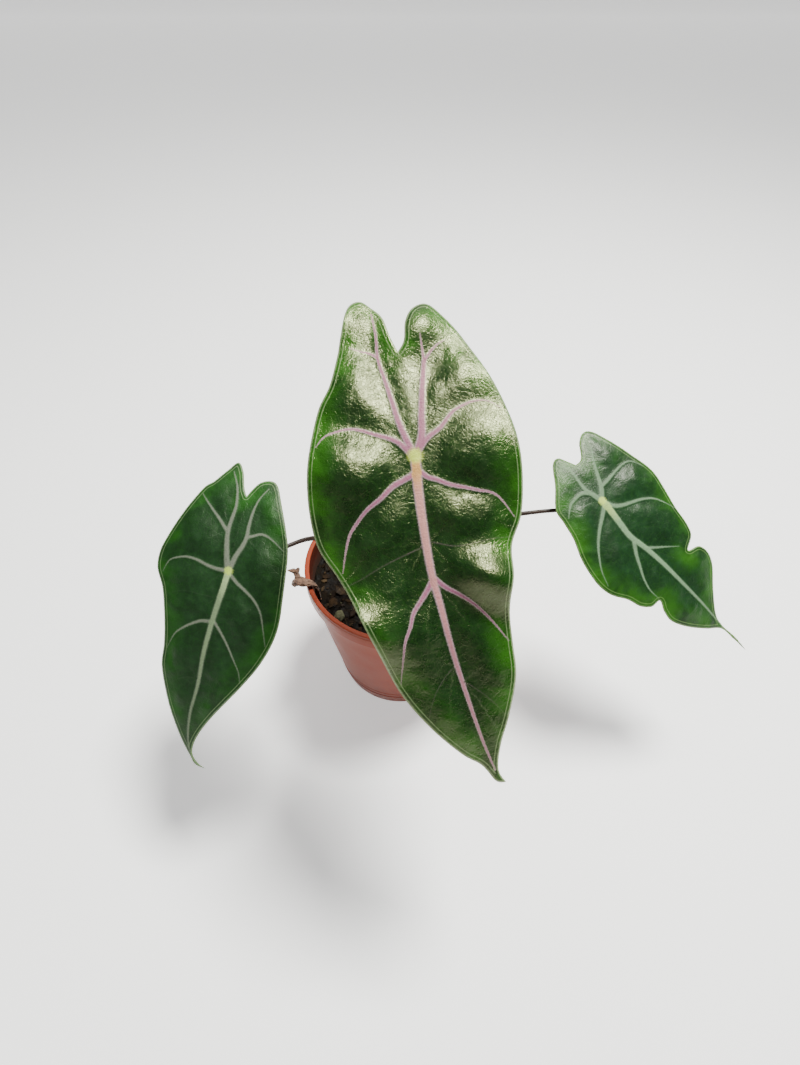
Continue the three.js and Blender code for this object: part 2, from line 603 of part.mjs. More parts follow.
// Delaunay triangles of points in a plane, each anticlockwise (Bowyer and Watson's way).
function delaunay(points) {
  // A tiny stagger keeps four points off one circle.
  const spots = points.map((p, index) => ({
    x: p.x + 1e-4 * Math.sin(7 * index),
    y: p.y + 1e-4 * Math.cos(11 * index),
  }));
  const far = 5000;
  const count = spots.length;
  spots.push({ x: -far, y: -far }, { x: far, y: -far }, { x: 0, y: far });
  const withCircle = (a, b, c) => {
    const [p, q, r] = [spots[a], spots[b], spots[c]];
    const cross = 2 * ((q.x - p.x) * (r.y - p.y) - (q.y - p.y) * (r.x - p.x));
    const qq = (q.x - p.x) ** 2 + (q.y - p.y) ** 2;
    const rr = (r.x - p.x) ** 2 + (r.y - p.y) ** 2;
    const x = ((r.y - p.y) * qq - (q.y - p.y) * rr) / cross;
    const y = ((q.x - p.x) * rr - (r.x - p.x) * qq) / cross;
    return { corners: [a, b, c], x: p.x + x, y: p.y + y, squared: x * x + y * y };
  };
  let triangles = [withCircle(count, count + 1, count + 2)];
  for (let index = 0; index < count; index += 1) {
    const spot = spots[index];
    const hit = ({ x, y, squared }) => (spot.x - x) ** 2 + (spot.y - y) ** 2 < squared;
    const rim = new Map();
    for (const { corners: [a, b, c] } of triangles.filter(hit)) {
      for (const [from, to] of [[a, b], [b, c], [c, a]]) {
        if (rim.has(`${to},${from}`)) {
          rim.delete(`${to},${from}`);
        } else {
          rim.set(`${from},${to}`, [from, to]);
        }
      }
    }
    triangles = triangles.filter((triangle) => !hit(triangle));
    triangles.push(...[...rim.values()].map(([from, to]) => withCircle(from, to, index)));
  }
  return triangles.map(({ corners }) => corners)
    .filter((corners) => corners.every((corner) => corner < count));
}

// The blade's own X, Y and outward directions, as columns of a rotation.
function bladeAxes({ turn, rise, swing }) {
  const outward = new THREE.Vector3(
    Math.sin(radians(turn)) * Math.cos(radians(rise)),
    -Math.cos(radians(turn)) * Math.cos(radians(rise)),
    Math.sin(radians(rise)));
  const uphill = new THREE.Vector3(0, 0, 1).projectOnPlane(outward).normalize();
  const lobeward = uphill.applyAxisAngle(outward, radians(swing));
  const across = new THREE.Vector3().crossVectors(lobeward, outward);
  return { across, lobeward, outward };
}

function bladeGeometry(shape) {
  const form = new BladeForm(shape);
  const points = form.points();
  const triangles = delaunay(points).filter((corners) => {
    const [a, b, c] = corners.map((corner) => points[corner]);
    const middle = a.clone().add(b).add(c).divideScalar(3);
    return form.contains(middle.x, middle.y);
  });
  const half = blade.thickness / 2;
  const face = (offset) => points.map(({ x, y }) => (
    new THREE.Vector3(x, y, form.height(x, y) + offset(form.relief(x, y)))));
  const upper = face((relief) => half + blade.ribTop * relief);
  const under = face((relief) => -half - blade.ribUnder * relief);
  return thickened(upper, under, triangles);
}

// Petioles

function petioleGeometry({ of, seat, line, steps }) {
  const { outward } = bladeAxes(of);
  const foot = new THREE.Vector3(
    petiole.seatRadius * Math.cos(radians(seat)),
    petiole.seatRadius * Math.sin(radians(seat)),
    crown.top + clearance);
  const depth = blade.thickness / 2 + blade.ribUnder + clearance;
  const end = solidPoint(of.place).addScaledVector(outward, -depth);
  const bend = end.clone().addScaledVector(outward, -petiole.straight);
  const rise = foot.clone().add(new THREE.Vector3(0, 0, 3));
  const stations = [foot, rise, ...line.map(solidPoint), bend, end];
  const curve = new THREE.CatmullRomCurve3(stations, false, 'centripetal');
  return sweep(curve, steps, petiole.sides, (share, angle) => {
    const inSheath = Math.max(0, 1 - share / petiole.sheathShare);
    const stalk = lerp(petiole.stalkRadius, petiole.neckRadius, Math.min(1, share / petiole.taperShare));
    const groove = petiole.sheathGroove * inSheath * Math.exp(-((angle / Math.PI - 1) ** 2) / 0.04);
    return lerp(stalk, petiole.footRadius, inSheath ** 1.5) * (1 - groove);
  });
}

// The withered leaf, a crumpled roll with a horn and an ear that stick up past the rim

function crumpledRoll(stations, sides, random) {
  const curve = new THREE.CatmullRomCurve3(stations.map(solidPoint));
  const frames = stations.map((_, index) => curve.getTangent(index / (stations.length - 1)));
  return loft(stations.map(([x, y, z, halfWidth, halfThickness], index) => {
    const across = new THREE.Vector3(0, 0, 1).cross(frames[index]).normalize();
    const up = new THREE.Vector3().crossVectors(frames[index], across);
    return Array.from({ length: sides }, (_, side) => {
      const angle = (2 * Math.PI * side) / sides;
      const crumple = 1 - witheredLeaf.crumple * random();
      return new THREE.Vector3(x, y, z)
        .addScaledVector(across, crumple * halfWidth * Math.cos(angle))
        .addScaledVector(up, crumple * halfThickness * Math.sin(angle));
    });
  }));
}

function witheredLeafGeometry() {
  const random = seededRandom(witheredLeaf.seed);
  const roll = toSolid(crumpledRoll(witheredLeaf.roll, witheredLeaf.sides, random));
  const horn = toSolid(crumpledRoll(witheredLeaf.horn, witheredLeaf.sides - 4, random));
  const ear = toSolid(crumpledRoll(witheredLeaf.ear, witheredLeaf.sides - 4, random));
  return fromSolid(roll.add(horn).add(ear));
}

// Materials

const finish = (color, roughness) => new THREE.MeshStandardMaterial({ color, roughness, metalness: 0 });
const terracottaPlastic = finish(0xb05a3c, 0.45);
const barkMix = finish(0x2a211b, 0.95);
const crownSkin = finish(0x5a4a34, 0.8);
const paperyBrown = finish(0x8a6c4c, 0.85);
const petioleSkin = finish(0x3d2a20, 0.5);
const bladeFinishes = {
  blade_front: finish(0x1f4a24, 0.4),
  blade_left: finish(0x28502c, 0.45),
  blade_right: finish(0x2c5a2a, 0.42),
};

// The plant in its pot

const model = new THREE.Group();

function place(name, geometry, material) {
  const mesh = new THREE.Mesh(geometry, material);
  mesh.name = name;
  model.add(mesh);
  return mesh;
}

place('pot', potGeometry(), terracottaPlastic);
place('soil', soilGeometry(), barkMix);
place('crown', crownGeometry(), crownSkin);
place('dry_sheath', drySheathGeometry(), paperyBrown);
place('withered_leaf', witheredLeafGeometry(), paperyBrown);
for (const stalk of petioles) {
  place(stalk.name, petioleGeometry(stalk), petioleSkin);
}
for (const shape of [bigBlade, leftBlade, rightBlade]) {
  const mesh = place(shape.name, bladeGeometry(shape), bladeFinishes[shape.name]);
  const { across, lobeward, outward } = bladeAxes(shape);
  mesh.quaternion.setFromRotationMatrix(new THREE.Matrix4().makeBasis(across, lobeward, outward));
  mesh.position.set(...shape.place);
}

export default model;
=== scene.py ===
"""A young jewel alocasia with three leaves, in its nursery pot.

Sizes are in millimetres, as in the part's own source. MM turns them into the frame's metres.
"""
import sys

import logging
import math
import random
from collections import defaultdict
from dataclasses import dataclass
from enum import Enum
from typing import Any, Callable, Sequence

import bpy
import numpy as np
from mathutils import Euler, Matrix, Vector, noise
from mathutils.geometry import delaunay_2d_cdt

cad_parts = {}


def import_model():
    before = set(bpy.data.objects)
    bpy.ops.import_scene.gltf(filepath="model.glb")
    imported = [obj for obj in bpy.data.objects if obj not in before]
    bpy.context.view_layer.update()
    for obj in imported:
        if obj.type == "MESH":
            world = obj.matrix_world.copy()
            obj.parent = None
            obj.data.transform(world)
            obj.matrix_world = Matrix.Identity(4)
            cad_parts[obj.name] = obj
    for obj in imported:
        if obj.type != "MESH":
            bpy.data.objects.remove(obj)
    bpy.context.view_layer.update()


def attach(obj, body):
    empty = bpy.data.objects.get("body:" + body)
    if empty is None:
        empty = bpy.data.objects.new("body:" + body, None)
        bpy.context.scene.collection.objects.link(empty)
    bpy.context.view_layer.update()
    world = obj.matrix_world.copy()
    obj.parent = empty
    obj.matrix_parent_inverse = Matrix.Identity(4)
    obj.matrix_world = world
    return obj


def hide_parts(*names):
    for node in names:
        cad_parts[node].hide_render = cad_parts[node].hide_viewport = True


MM = 0.001
CLEARANCE = 0.3

Array = np.ndarray
Colour = tuple[float, float, float]
Spot = tuple[float, float]
Place = tuple[float, float, float]
Span = tuple[float, float]

log = logging.getLogger("alocasia")


class Spacing(Enum):
    """How a smooth line is led through its points."""

    UNIFORM = "as on paper, with its ends held"
    CENTRIPETAL = "as a stalk in the air, with no loops"


class Slot(Enum):
    """The record's material slots."""

    POT = "pot_plastic"
    MIX = "potting_mix"
    CROWN = "crown_skin"
    DRY = "dry_leaf"
    PETIOLE = "petiole_skin"
    FRONT = "front_blade"
    LEFT = "left_blade"
    RIGHT = "right_blade"


# Small sums


def mixed(first: Any, second: Any, share: Any) -> Any:
    """Returns the value at a share of the way from first to second."""
    return first + (second - first) * share


def dimmed(colour: Colour, share: float) -> Colour:
    """Gives a share of a colour's light."""
    return tuple(share * one for one in colour)


def eased(value: Any, start: float, end: float) -> Any:
    """Returns 0 before start and 1 after end, with a smooth turn between them."""
    share = np.clip((value - start) / (end - start), 0, 1)
    return share * share * (3 - 2 * share)


def unit(vectors: Array) -> Array:
    """Gives vectors the length of one."""
    return vectors / np.linalg.norm(vectors, axis=-1, keepdims=True)


def round_angles(sides: int) -> Array:
    """Gives even angles round a circle."""
    return np.linspace(0, 2 * math.pi, sides, endpoint=False)


def rippled(spots: Array, size: float, seed: float = 0.0) -> Array:
    """Reads soft noise at points.

    Args:
        spots: The points, in millimetres, in two or three columns.
        size: The width of the noise's features.
        seed: Moves the noise to another place.

    Returns:
        A value between about -1 and 1 for each point.
    """
    solid = np.zeros((len(spots), 3))
    solid[:, : spots.shape[1]] = spots / size
    solid[:, 2] += seed
    return np.array([noise.noise(Vector(spot)) for spot in solid])


def smooth_line(points: Sequence[Sequence[float]], spacing: Spacing, fine: int = 24) -> Array:
    """Draws a Catmull-Rom curve through points.

    Args:
        points: The points that the curve passes.
        spacing: How the curve is led through them.
        fine: The number of steps between two points.

    Returns:
        The curve as a path of close points.
    """
    given = np.array(points, float)
    if spacing is Spacing.UNIFORM:
        knots = np.vstack([given[:1], given, given[-1:]])
    else:
        knots = np.vstack([2 * given[0] - given[1], given, 2 * given[-1] - given[-2]])
    shares = np.linspace(0, 1, fine, endpoint=False)[:, None]
    pieces = []
    for before, start, end, after in zip(knots, knots[1:], knots[2:], knots[3:]):
        if spacing is Spacing.UNIFORM:
            leave, arrive = (end - before) / 2, (after - start) / 2
        else:
            one, two, three = (math.sqrt(np.linalg.norm(b - a)) for a, b in
                               ((before, start), (start, end), (end, after)))
            leave = two * ((start - before) / one - (end - before) / (one + two) + (end - start) / two)
            arrive = two * ((end - start) / two - (after - start) / (two + three) + (after - end) / three)
        pieces.append(start + leave * shares + (3 * (end - start) - 2 * leave - arrive) * shares**2
                      + (2 * (start - end) + leave + arrive) * shares**3)
    return np.vstack([*pieces, given[-1:]])


def evenly(path: Array, step: float) -> tuple[Array, Array]:
    """Walks along a path at even steps.

    Args:
        path: The path's points.
        step: The wanted length of a step.

    Returns:
        The points, and the share of the path's length at each.
    """
    run = np.concatenate([[0], np.cumsum(np.linalg.norm(np.diff(path, axis=0), axis=1))])
    count = max(2, round(run[-1] / step))
    shares = np.linspace(0, 1, count + 1)
    points = np.column_stack([np.interp(shares * run[-1], run, column) for column in path.T])
    return points, shares


def nearest(spots: Array, path: Array) -> tuple[Array, Array]:
    """Measures points against a path.

    Args:
        spots: The points to measure.
        path: The path, at even steps.

    Returns:
        The distance of each point, and the share of the path's length beside it.
    """
    start, leg = path[:-1], np.diff(path, axis=0)
    squared = (leg**2).sum(1)
    gaps, shares = [], []
    for part in np.array_split(spots, max(1, len(spots) // 3000)):
        run = np.clip(((part[:, None] - start) * leg).sum(2) / squared, 0, 1)
        gap = np.linalg.norm(part[:, None] - start - run[..., None] * leg, axis=2)
        best = gap.argmin(1)
        rows = np.arange(len(part))
        gaps.append(gap[rows, best])
        shares.append((best + run[rows, best]) / len(leg))
    return np.concatenate(gaps), np.concatenate(shares)


def inside(spots: Array, outline: Array) -> Array:
    """Tells which points lie within a closed outline.

    Args:
        spots: The points.
        outline: The outline's points.

    Returns:
        True for each point that lies inside.
    """
    x, y = spots[:, :1], spots[:, 1:]
    a, b = outline, np.roll(outline, 1, axis=0)
    spans = (a[:, 1] > y) != (b[:, 1] > y)
    rise = np.where(a[:, 1] == b[:, 1], 1.0, b[:, 1] - a[:, 1])
    left = x < (b[:, 0] - a[:, 0]) * (y - a[:, 1]) / rise + a[:, 0]
    return (spans & left).sum(1) % 2 == 1


def carried_frames(path: Array, first: Array) -> tuple[Array, Array]:
    """Carries a direction along a path without twisting it.

    Args:
        path: The path's points.
        first: The direction at its start.

    Returns:
        Two directions for each point, square to the path and to each other.
    """
    ways = unit(np.gradient(path, axis=0))
    normals = []
    carried = first
    for way in ways:
        carried = unit(carried - way * (carried @ way))
        normals.append(carried)
    normals = np.array(normals)
    return normals, np.cross(ways, normals)


# Meshes


def placed(name: str, data: Any) -> bpy.types.Object:
    """Puts an object into the scene.

    Args:
        name: The object's name.
        data: Its mesh, light or lens.

    Returns:
        The object.
    """
    made = bpy.data.objects.new(name, data)
    bpy.context.scene.collection.objects.link(made)
    return made


def mesh_of(name: str, points: Array, faces: Sequence[Sequence[int]]) -> bpy.types.Mesh:
    """Makes a mesh from points in millimetres.

    Args:
        name: The mesh's name.
        points: Its points.
        faces: Its faces, as places in those points.

    Returns:
        The mesh.
    """
    mesh = bpy.data.meshes.new(name)
    mesh.from_pydata((points * MM).tolist(), [], faces)
    return mesh


class Shell:
    """A piece's mesh in the making: points in millimetres, faces, and numbers kept at the points."""

    def __init__(self, name: str) -> None:
        """Starts an empty mesh.

        Args:
            name: The name of the mesh and of its piece.
        """
        self.name = name
        self.points: list[Array] = []
        self.faces: list[tuple[int, ...]] = []
        self.finishes: list[int] = []
        self.rounded: list[bool] = []
        self.fields: dict[str, list[tuple[int, Array]]] = defaultdict(list)
        self.count = 0

    def add(self, points: Array, faces: Sequence[Sequence[int]], finish: int = 0, rounded: bool = True,
            **fields: Any) -> None:
        """Adds a body to the mesh.

        Args:
            points: Its points.
            faces: Its faces, as places in those points.
            finish: The material slot of its faces.
            rounded: Whether it is shaded smooth.
            **fields: Numbers kept at its points, one for each or one for all.
        """
        start = self.count
        self.points.append(points)
        self.faces.extend(tuple(start + corner for corner in face) for face in faces)
        self.finishes.extend([finish] * len(faces))
        self.rounded.extend([rounded] * len(faces))
        for name, values in fields.items():
            shape = (len(points), *np.shape(values)[1:])
            self.fields[name].append((start, np.broadcast_to(values, shape)))
        self.count += len(points)

    def loft(self, rings: Array, finish: int = 0, rounded: bool = True, **fields: Any) -> None:
        """Adds a body skinned over rings of points and closed at both ends.

        Args:
            rings: Rings of points, each anticlockwise seen against the way they follow one another.
            finish: The material slot of its faces.
            rounded: Whether it is shaded smooth.
            **fields: Numbers kept at its points.
        """
        count, sides = rings.shape[:2]
        points = np.vstack([rings.reshape(-1, 3), rings[0].mean(0), rings[-1].mean(0)])
        faces: list[tuple[int, ...]] = []
        for ring in range(count - 1):
            for side in range(sides):
                a, b = ring * sides + side, ring * sides + (side + 1) % sides
                faces.append((a, b, b + sides, a + sides))
        last = (count - 1) * sides
        for side in range(sides):
            after = (side + 1) % sides
            faces.append((count * sides, after, side))
            faces.append((count * sides + 1, last + side, last + after))
        self.add(points, faces, finish, rounded, **fields)

    def built(self, materials: Sequence[bpy.types.Material], slot: Slot, *nodes: str) -> bpy.types.Object:
        """Makes the Blender object, and hides the frame's nodes that it replaces.

        Args:
            materials: The materials of the mesh's slots.
            slot: The record's slot of the piece. It is not used.
            *nodes: The nodes of the frame that it replaces.

        Returns:
            The object.
        """
        mesh = mesh_of(self.name, np.vstack(self.points), self.faces)
        for name, parts in self.fields.items():
            wide = parts[0][1].ndim > 1
            values = np.zeros((self.count, 3) if wide else self.count, np.float32)
            for start, part in parts:
                values[start : start + len(part)] = part
            kept = mesh.attributes.new(name, "FLOAT_VECTOR" if wide else "FLOAT", "POINT")
            kept.data.foreach_set("vector" if wide else "value", values.ravel())
        for material in materials:
            mesh.materials.append(material)
        mesh.polygons.foreach_set("material_index", self.finishes)
        mesh.polygons.foreach_set("use_smooth", self.rounded)
        mesh.update()
        piece = placed(self.name, mesh)
        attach(piece, "root")
        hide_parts(*nodes)
        return piece


def open_edges(triangles: Sequence[Sequence[int]]) -> list[tuple[int, int]]:
    """Finds the edges that only one triangle has.

    Args:
        triangles: The triangles.

    Returns:
        The edges, each in its triangle's direction.
    """
    found = {}
    for a, b, c in triangles:
        for edge in ((a, b), (b, c), (c, a)):
            if edge[::-1] in found:
                del found[edge[::-1]]
            else:
                found[edge] = True
    return list(found)


def rounded_profile(corners: Sequence[Place], steps: int = 5) -> Array:
    """Rounds the corners of a profile.

    Args:
        corners: The corners, each with its radius, height and rounding.
        steps: The number of points on a rounding.

    Returns:
        The profile's points.
    """
    points = []
    for index, (radius, height, rounding) in enumerate(corners):
        here = np.array([radius, height])
        if not rounding:
            points.append(here)
            continue
        before, after = (np.array(corners[index + way][:2]) - here for way in (-1, 1))
        start, end = here + unit(before) * rounding, here + unit(after) * rounding
        for share in np.linspace(0, 1, steps):
            points.append(mixed(mixed(start, here, share), mixed(here, end, share), share))
    return np.array(points)


def turned_rings(profile: Array, sides: int) -> Array:
    """Turns a profile of radius and height about the upright axis.

    Args:
        profile: The profile's points.
        sides: The number of points on each ring.

    Returns:
        The rings of points.
    """
    angles = round_angles(sides)
    return np.stack([np.column_stack([radius * np.cos(angles), radius * np.sin(angles),
                                      np.full(sides, height)]) for radius, height in profile])


def swept_rings(path: Array, first: Array, sides: int,
                radius_at: Callable[[Array, Array], Array]) -> Array:
    """Carries a section along a path.

    Args:
        path: The path's points, at even steps.
        first: The direction from which angles are measured, at the start.
        sides: The section's number of sides.
        radius_at: Gives the radius for shares of the length and angles.

    Returns:
        The rings of points.
    """
    normals, others = carried_frames(path, first)
    angles = round_angles(sides)
    shares = np.linspace(0, 1, len(path))
    radii = radius_at(shares[:, None], angles[None, :])[..., None]
    return path[:, None] + radii * (np.cos(angles)[None, :, None] * normals[:, None]
                                    + np.sin(angles)[None, :, None] * others[:, None])


# Finishes


class Sketch:
    """A material drawn node by node, with places in millimetres."""

    def __init__(self, name: str) -> None:
        """Starts a material that holds one surface shader.

        Args:
            name: The material's name.
        """
        self.material = bpy.data.materials.new(name)
        self.material.use_nodes = True
        self.tree = self.material.node_tree
        self.tree.nodes.clear()
        self.shader = self.tree.nodes.new("ShaderNodeBsdfPrincipled")
        output = self.tree.nodes.new("ShaderNodeOutputMaterial")
        self.tree.links.new(self.shader.outputs["BSDF"], output.inputs["Surface"])

    def feed(self, socket: Any, value: Any) -> None:
        """Links a socket to another, or sets its number or colour.

        Args:
            socket: The socket that is fed.
            value: Another socket, a number or a colour.
        """
        if isinstance(value, bpy.types.NodeSocket):
            self.tree.links.new(value, socket)
        elif isinstance(value, tuple):
            socket.default_value = (*value, 1.0)[: len(socket.default_value)]
        else:
            socket.default_value = value

    def node(self, kind: str, inputs: dict[Any, Any], **settings: Any) -> Any:
        """Adds a node.

        Args:
            kind: The node's type, without its common first word.
            inputs: What its sockets are fed with.
            **settings: Its own settings.

        Returns:
            The node.
        """
        made = self.tree.nodes.new("ShaderNode" + kind)
        for key, value in settings.items():
            setattr(made, key, value)
        for key, value in inputs.items():
            self.feed(made.inputs[key], value)
        return made

    def surface(self, **values: Any) -> None:
        """Feeds the shader's sockets, with spaces written as low lines."""
        for key, value in values.items():
            self.feed(self.shader.inputs[key.replace("_", " ")], value)

    def kept(self, name: str) -> Any:
        """Reads a number kept at the mesh's points."""
        return self.node("Attribute", {}, attribute_name=name).outputs["Fac"]

    def kept_place(self, name: str) -> Any:
        """Reads a place kept at the mesh's points."""
        return self.node("Attribute", {}, attribute_name=name).outputs["Vector"]

    def place(self, stretch: Place = (1, 1, 1)) -> Any:
        """Gives the place on the piece, in millimetres, with each axis stretched."""
        where = self.tree.nodes.new("ShaderNodeTexCoord").outputs["Object"]
        return self.stretched(where, tuple(1 / MM / one for one in stretch))

    def stretched(self, where: Any, factors: Place) -> Any:
        """Multiplies a place's parts by factors."""
        return self.node("VectorMath", {0: where, 1: factors}, operation="MULTIPLY").outputs[0]

    def height(self) -> Any:
        """Gives the height above the pot's foot, in millimetres."""
        return self.node("SeparateXYZ", {0: self.place()}).outputs["Z"]

    def scaled(self, vector: Any, factor: Any) -> Any:
        """Multiplies a place or a colour by one number."""
        return self.node("VectorMath", {0: vector, 3: factor}, operation="SCALE").outputs[0]

    def moved(self, where: Any, way: Any) -> Any:
        """Moves a place."""
        return self.node("VectorMath", {0: where, 1: way}, operation="ADD").outputs[0]

    def sum(self, operation: str, first: Any, second: Any = 0.0) -> Any:
        """Does one sum with numbers or sockets."""
        return self.node("Math", {0: first, 1: second}, operation=operation).outputs[0]

    def times(self, first: Any, second: Any) -> Any:
        """Multiplies two values."""
        return self.sum("MULTIPLY", first, second)

    def plus(self, value: Any, other: Any, share: float = 1.0) -> Any:
        """Adds a share of another value."""
        return self.node("Math", {0: other, 1: share, 2: value}, operation="MULTIPLY_ADD").outputs[0]

    def band(self, value: Any, start: float, end: float, low: float = 0.0, high: float = 1.0) -> Any:
        """Turns a value into a smooth step between start and end."""
        return self.node("MapRange", {"Value": value, "From Min": start, "From Max": end, "To Min": low,
                                      "To Max": high}, interpolation_type="SMOOTHSTEP").outputs[0]

    def spread(self, value: Any, low: float, high: float) -> Any:
        """Turns noise near 0.5 into a value between low and high."""
        return self.band(value, 0.3, 0.7, low, high)

    def noise(self, where: Any, size: float, detail: float = 3.0, curl: float = 0.0,
              rough: float = 0.5) -> Any:
        """Gives noise.

        Args:
            where: The place, in millimetres.
            size: The width of its features.
            detail: How many finer layers it has.
            curl: How far it is curled.
            rough: How strong the finer layers are.

        Returns:
            A socket with a value near 0.5.
        """
        return self.node("TexNoise", {"Vector": where, "Scale": 1 / size, "Detail": detail,
                                      "Distortion": curl, "Roughness": rough}).outputs["Fac"]

    def warped(self, where: Any, size: float, reach: float) -> Any:
        """Pushes a place about by soft noise of a size, as far as reach."""
        push = self.node("TexNoise", {"Vector": where, "Scale": 1 / size, "Detail": 2.0}).outputs["Color"]
        return self.moved(where, self.scaled(self.moved(push, (-0.5, -0.5, -0.5)), 2 * reach))

    def cells(self, where: Any, size: float) -> Any:
        """Gives the distance to the edge of irregular cells."""
        return self.node("TexVoronoi", {"Vector": where, "Scale": 1 / size},
                         feature="DISTANCE_TO_EDGE").outputs["Distance"]

    def blend(self, share: Any, first: Any, second: Any) -> Any:
        """Blends two colours.

        Args:
            share: The share of the second one.
            first: The first colour.
            second: The second colour.

        Returns:
            The socket with the colour.
        """
        made = self.tree.nodes.new("ShaderNodeMix")
        made.data_type = "RGBA"
        for place, value in ((0, share), (6, first), (7, second)):
            self.feed(made.inputs[place], value)
        return made.outputs[2]

    def shade(self, colour: Any, value: Any, low: float, high: float) -> Any:
        """Makes a colour darker or lighter by a value near 0.5.

        Args:
            colour: The colour.
            value: The value, from 0.25 to 0.75.
            low: What the colour is multiplied by at 0.25.
            high: What it is multiplied by at 0.75.

        Returns:
            The socket with the colour.
        """
        grey = self.node("MapRange", {"Value": value, "From Min": 0.25, "From Max": 0.75, "To Min": low,
                                      "To Max": high}).outputs[0]
        return self.scaled(colour, grey)

    def relief(self, *layers: tuple[Any, float]) -> Any:
        """Adds relief to the surface, layer on layer.

        Args:
            *layers: The height of each layer, from 0 to 1, and its depth in millimetres at a height of 1.

        Returns:
            The socket with the bumpy normal.
        """
        normal = None
        for height, depth in layers:
            inputs = {"Height": height, "Distance": depth * MM, "Strength": 1.0}
            if normal is not None:
                inputs["Normal"] = normal
            normal = self.node("Bump", inputs).outputs["Normal"]
        return normal


@dataclass(frozen=True)
class BladeFinish:
    """The colours of one blade, which are linear light from 0 to 1."""

    name: str
    deep: Colour
    fresh: Colour
    vein: Colour
    vein_edge: Colour
    midrib: Colour
    midrib_foot: Colour
    joint: Colour
    margin: Colour
    under: Colour = (0.050, 0.010, 0.015)
    under_vein: Colour = (0.13, 0.05, 0.045)
    # How strong the painted glow of light through the blade is near the margin.
    margin_glow: float = 1.0
    fuzz: float = 1.0
    vein_blur: float = 0.2
    creases: float = 1.0
    gloss: float = 0.58
    glint: Colour = (0.94, 1.0, 0.5)
    roughness: float = 0.25
    joint_size: float = 4.0
    margin_line: float = 1.9
    seed: float = 0.0

    def upper(self) -> bpy.types.Material:
        """Makes the satin upper side, with its veins, their fuzzy edges and the pale margin.

        Returns:
            The material.
        """
        s = Sketch(f"{self.name}_upper")
        where = s.moved(s.kept_place("leaf"), (0.0, 0.0, self.seed))
        wobble = s.plus(-0.5, s.noise(where, 0.8, 3))
        fine = s.noise(where, 0.32, 2)
        patchy = s.noise(where, 4.5, 4, rough=0.6)
        net = s.cells(s.warped(where, 2.6, 1.3), 3.6)
        tissue = self.tissue(s, where, patchy, fine, net)
        veined, core = self.veined(s, tissue, where, wobble, fine)
        satin = s.spread(patchy, self.roughness, self.roughness + 0.07)
        s.surface(Base_Color=self.bordered(s, veined, wobble), Normal=self.creased(s, where, fine, net),
                  Specular_Tint=self.glint, Roughness=s.plus(satin, core, 0.15),
                  Specular_IOR_Level=s.band(core, 0.0, 1.0, self.gloss, 0.35 * self.gloss))
        return s.material

    def tissue(self, s: Sketch, where: Any, patchy: Any, fine: Any, net: Any) -> Any:
        """Colours the tissue: deep inside, brighter green near the margin as a painted glow of light
        shining through the blade, with a faint net of small veins.

        Args:
            s: The material that is drawn.
            where: The place on the blade.
            patchy: Noise near 0.5 in patches.
            fine: Noise near 0.5 in fine grains.
            net: The distance to the net's lines.

        Returns:
            The colour.
        """
        broad = s.noise(where, 17, 3, curl=0.6)
        # Painted light: near the margin the tissue is blended to the fresh green, a painted glow of light
        # shining through the thin blade.
        near_margin = s.band(s.plus(s.kept("margin_gap"), s.plus(-0.5, patchy), 9), 15, 1)
        margin_glow = s.times(near_margin, s.band(broad, 0.36, 0.62, 0.15, self.margin_glow))
        colour = s.blend(margin_glow, self.deep, self.fresh)
        for value, low, high in ((patchy, 0.72, 1.28), (broad, 0.75, 1.25), (fine, 0.75, 1.25)):
            colour = s.shade(colour, value, low, high)
        return s.blend(s.band(net, 0.07, 0.0, 0.0, 0.16), colour, self.fresh)

    def veined(self, s: Sketch, tissue: Any, where: Any, wobble: Any, fine: Any) -> tuple[Any, Any]:
        """Lays the veins over the tissue.

        Args:
            s: The material that is drawn.
            tissue: The tissue's colour.
            where: The place on the blade.
            wobble: Noise about 0 that bends the veins' edges.
            fine: Noise near 0.5 that frays them.

        Returns:
            The colour, and a value that is 1 on the veins.
        """
        joint, width = s.kept("joint_gap"), s.kept("vein_width")
        strong = s.times(s.band(width, 0.1, 0.9, 0.55, 1), s.kept("vein_clarity"))
        edge = s.plus(s.kept("vein_gap"), wobble, 0.55)
        core = s.times(s.band(edge, 0.0, -self.vein_blur), strong)
        fuzz = s.plus(edge, s.plus(-0.5, fine), 1.3)
        halo_width = s.band(width, 0.3, 2.5, 0.2, 0.65)
        halo = s.times(s.band(s.sum("DIVIDE", fuzz, halo_width), 1.0, -0.4), strong)

        in_midrib = s.band(s.kept("midrib_gap"), 0.5, -0.1)
        tip_ward = s.band(joint, 30, 95, 1.0, 0.35)
        vein = s.blend(s.times(in_midrib, tip_ward), self.vein, self.midrib)
        foot = s.times(s.band(s.plus(joint, wobble, 6), 17, 5), in_midrib)
        vein = s.shade(s.blend(foot, vein, self.midrib_foot), s.noise(where, 0.7, 3), 0.82, 1.18)
        inner = s.band(s.plus(edge, wobble, 0.3), -0.1, -0.45)
        vein = s.blend(inner, s.blend(0.4 * self.fuzz, vein, self.vein_edge), vein)

        colour = s.blend(s.times(halo, 0.8 * self.fuzz), tissue, self.vein_edge)
        colour = s.blend(core, colour, vein)
        at_joint = s.band(s.plus(joint, wobble, 2.5), self.joint_size, 0.4 * self.joint_size)
        return s.blend(at_joint, colour, self.joint), core

    def bordered(self, s: Sketch, colour: Any, wobble: Any) -> Any:
        """Draws the pale line beside the margin and the pale lip on it.

        Args:
            s: The material that is drawn.
            colour: The colour that they are drawn over.
            wobble: Noise about 0 that bends them.

        Returns:
            The colour.
        """
        margin = s.kept("margin_gap")
        line = s.sum("ABSOLUTE", s.plus(s.plus(margin, wobble, 0.3), -self.margin_line))
        colour = s.blend(s.band(line, 0.3, 0.08, 0.0, 0.55), colour, self.margin)
        lip = s.band(s.plus(margin, wobble, 0.5), 0.95, 0.35)
        return s.blend(s.times(lip, 0.8), colour, self.margin)

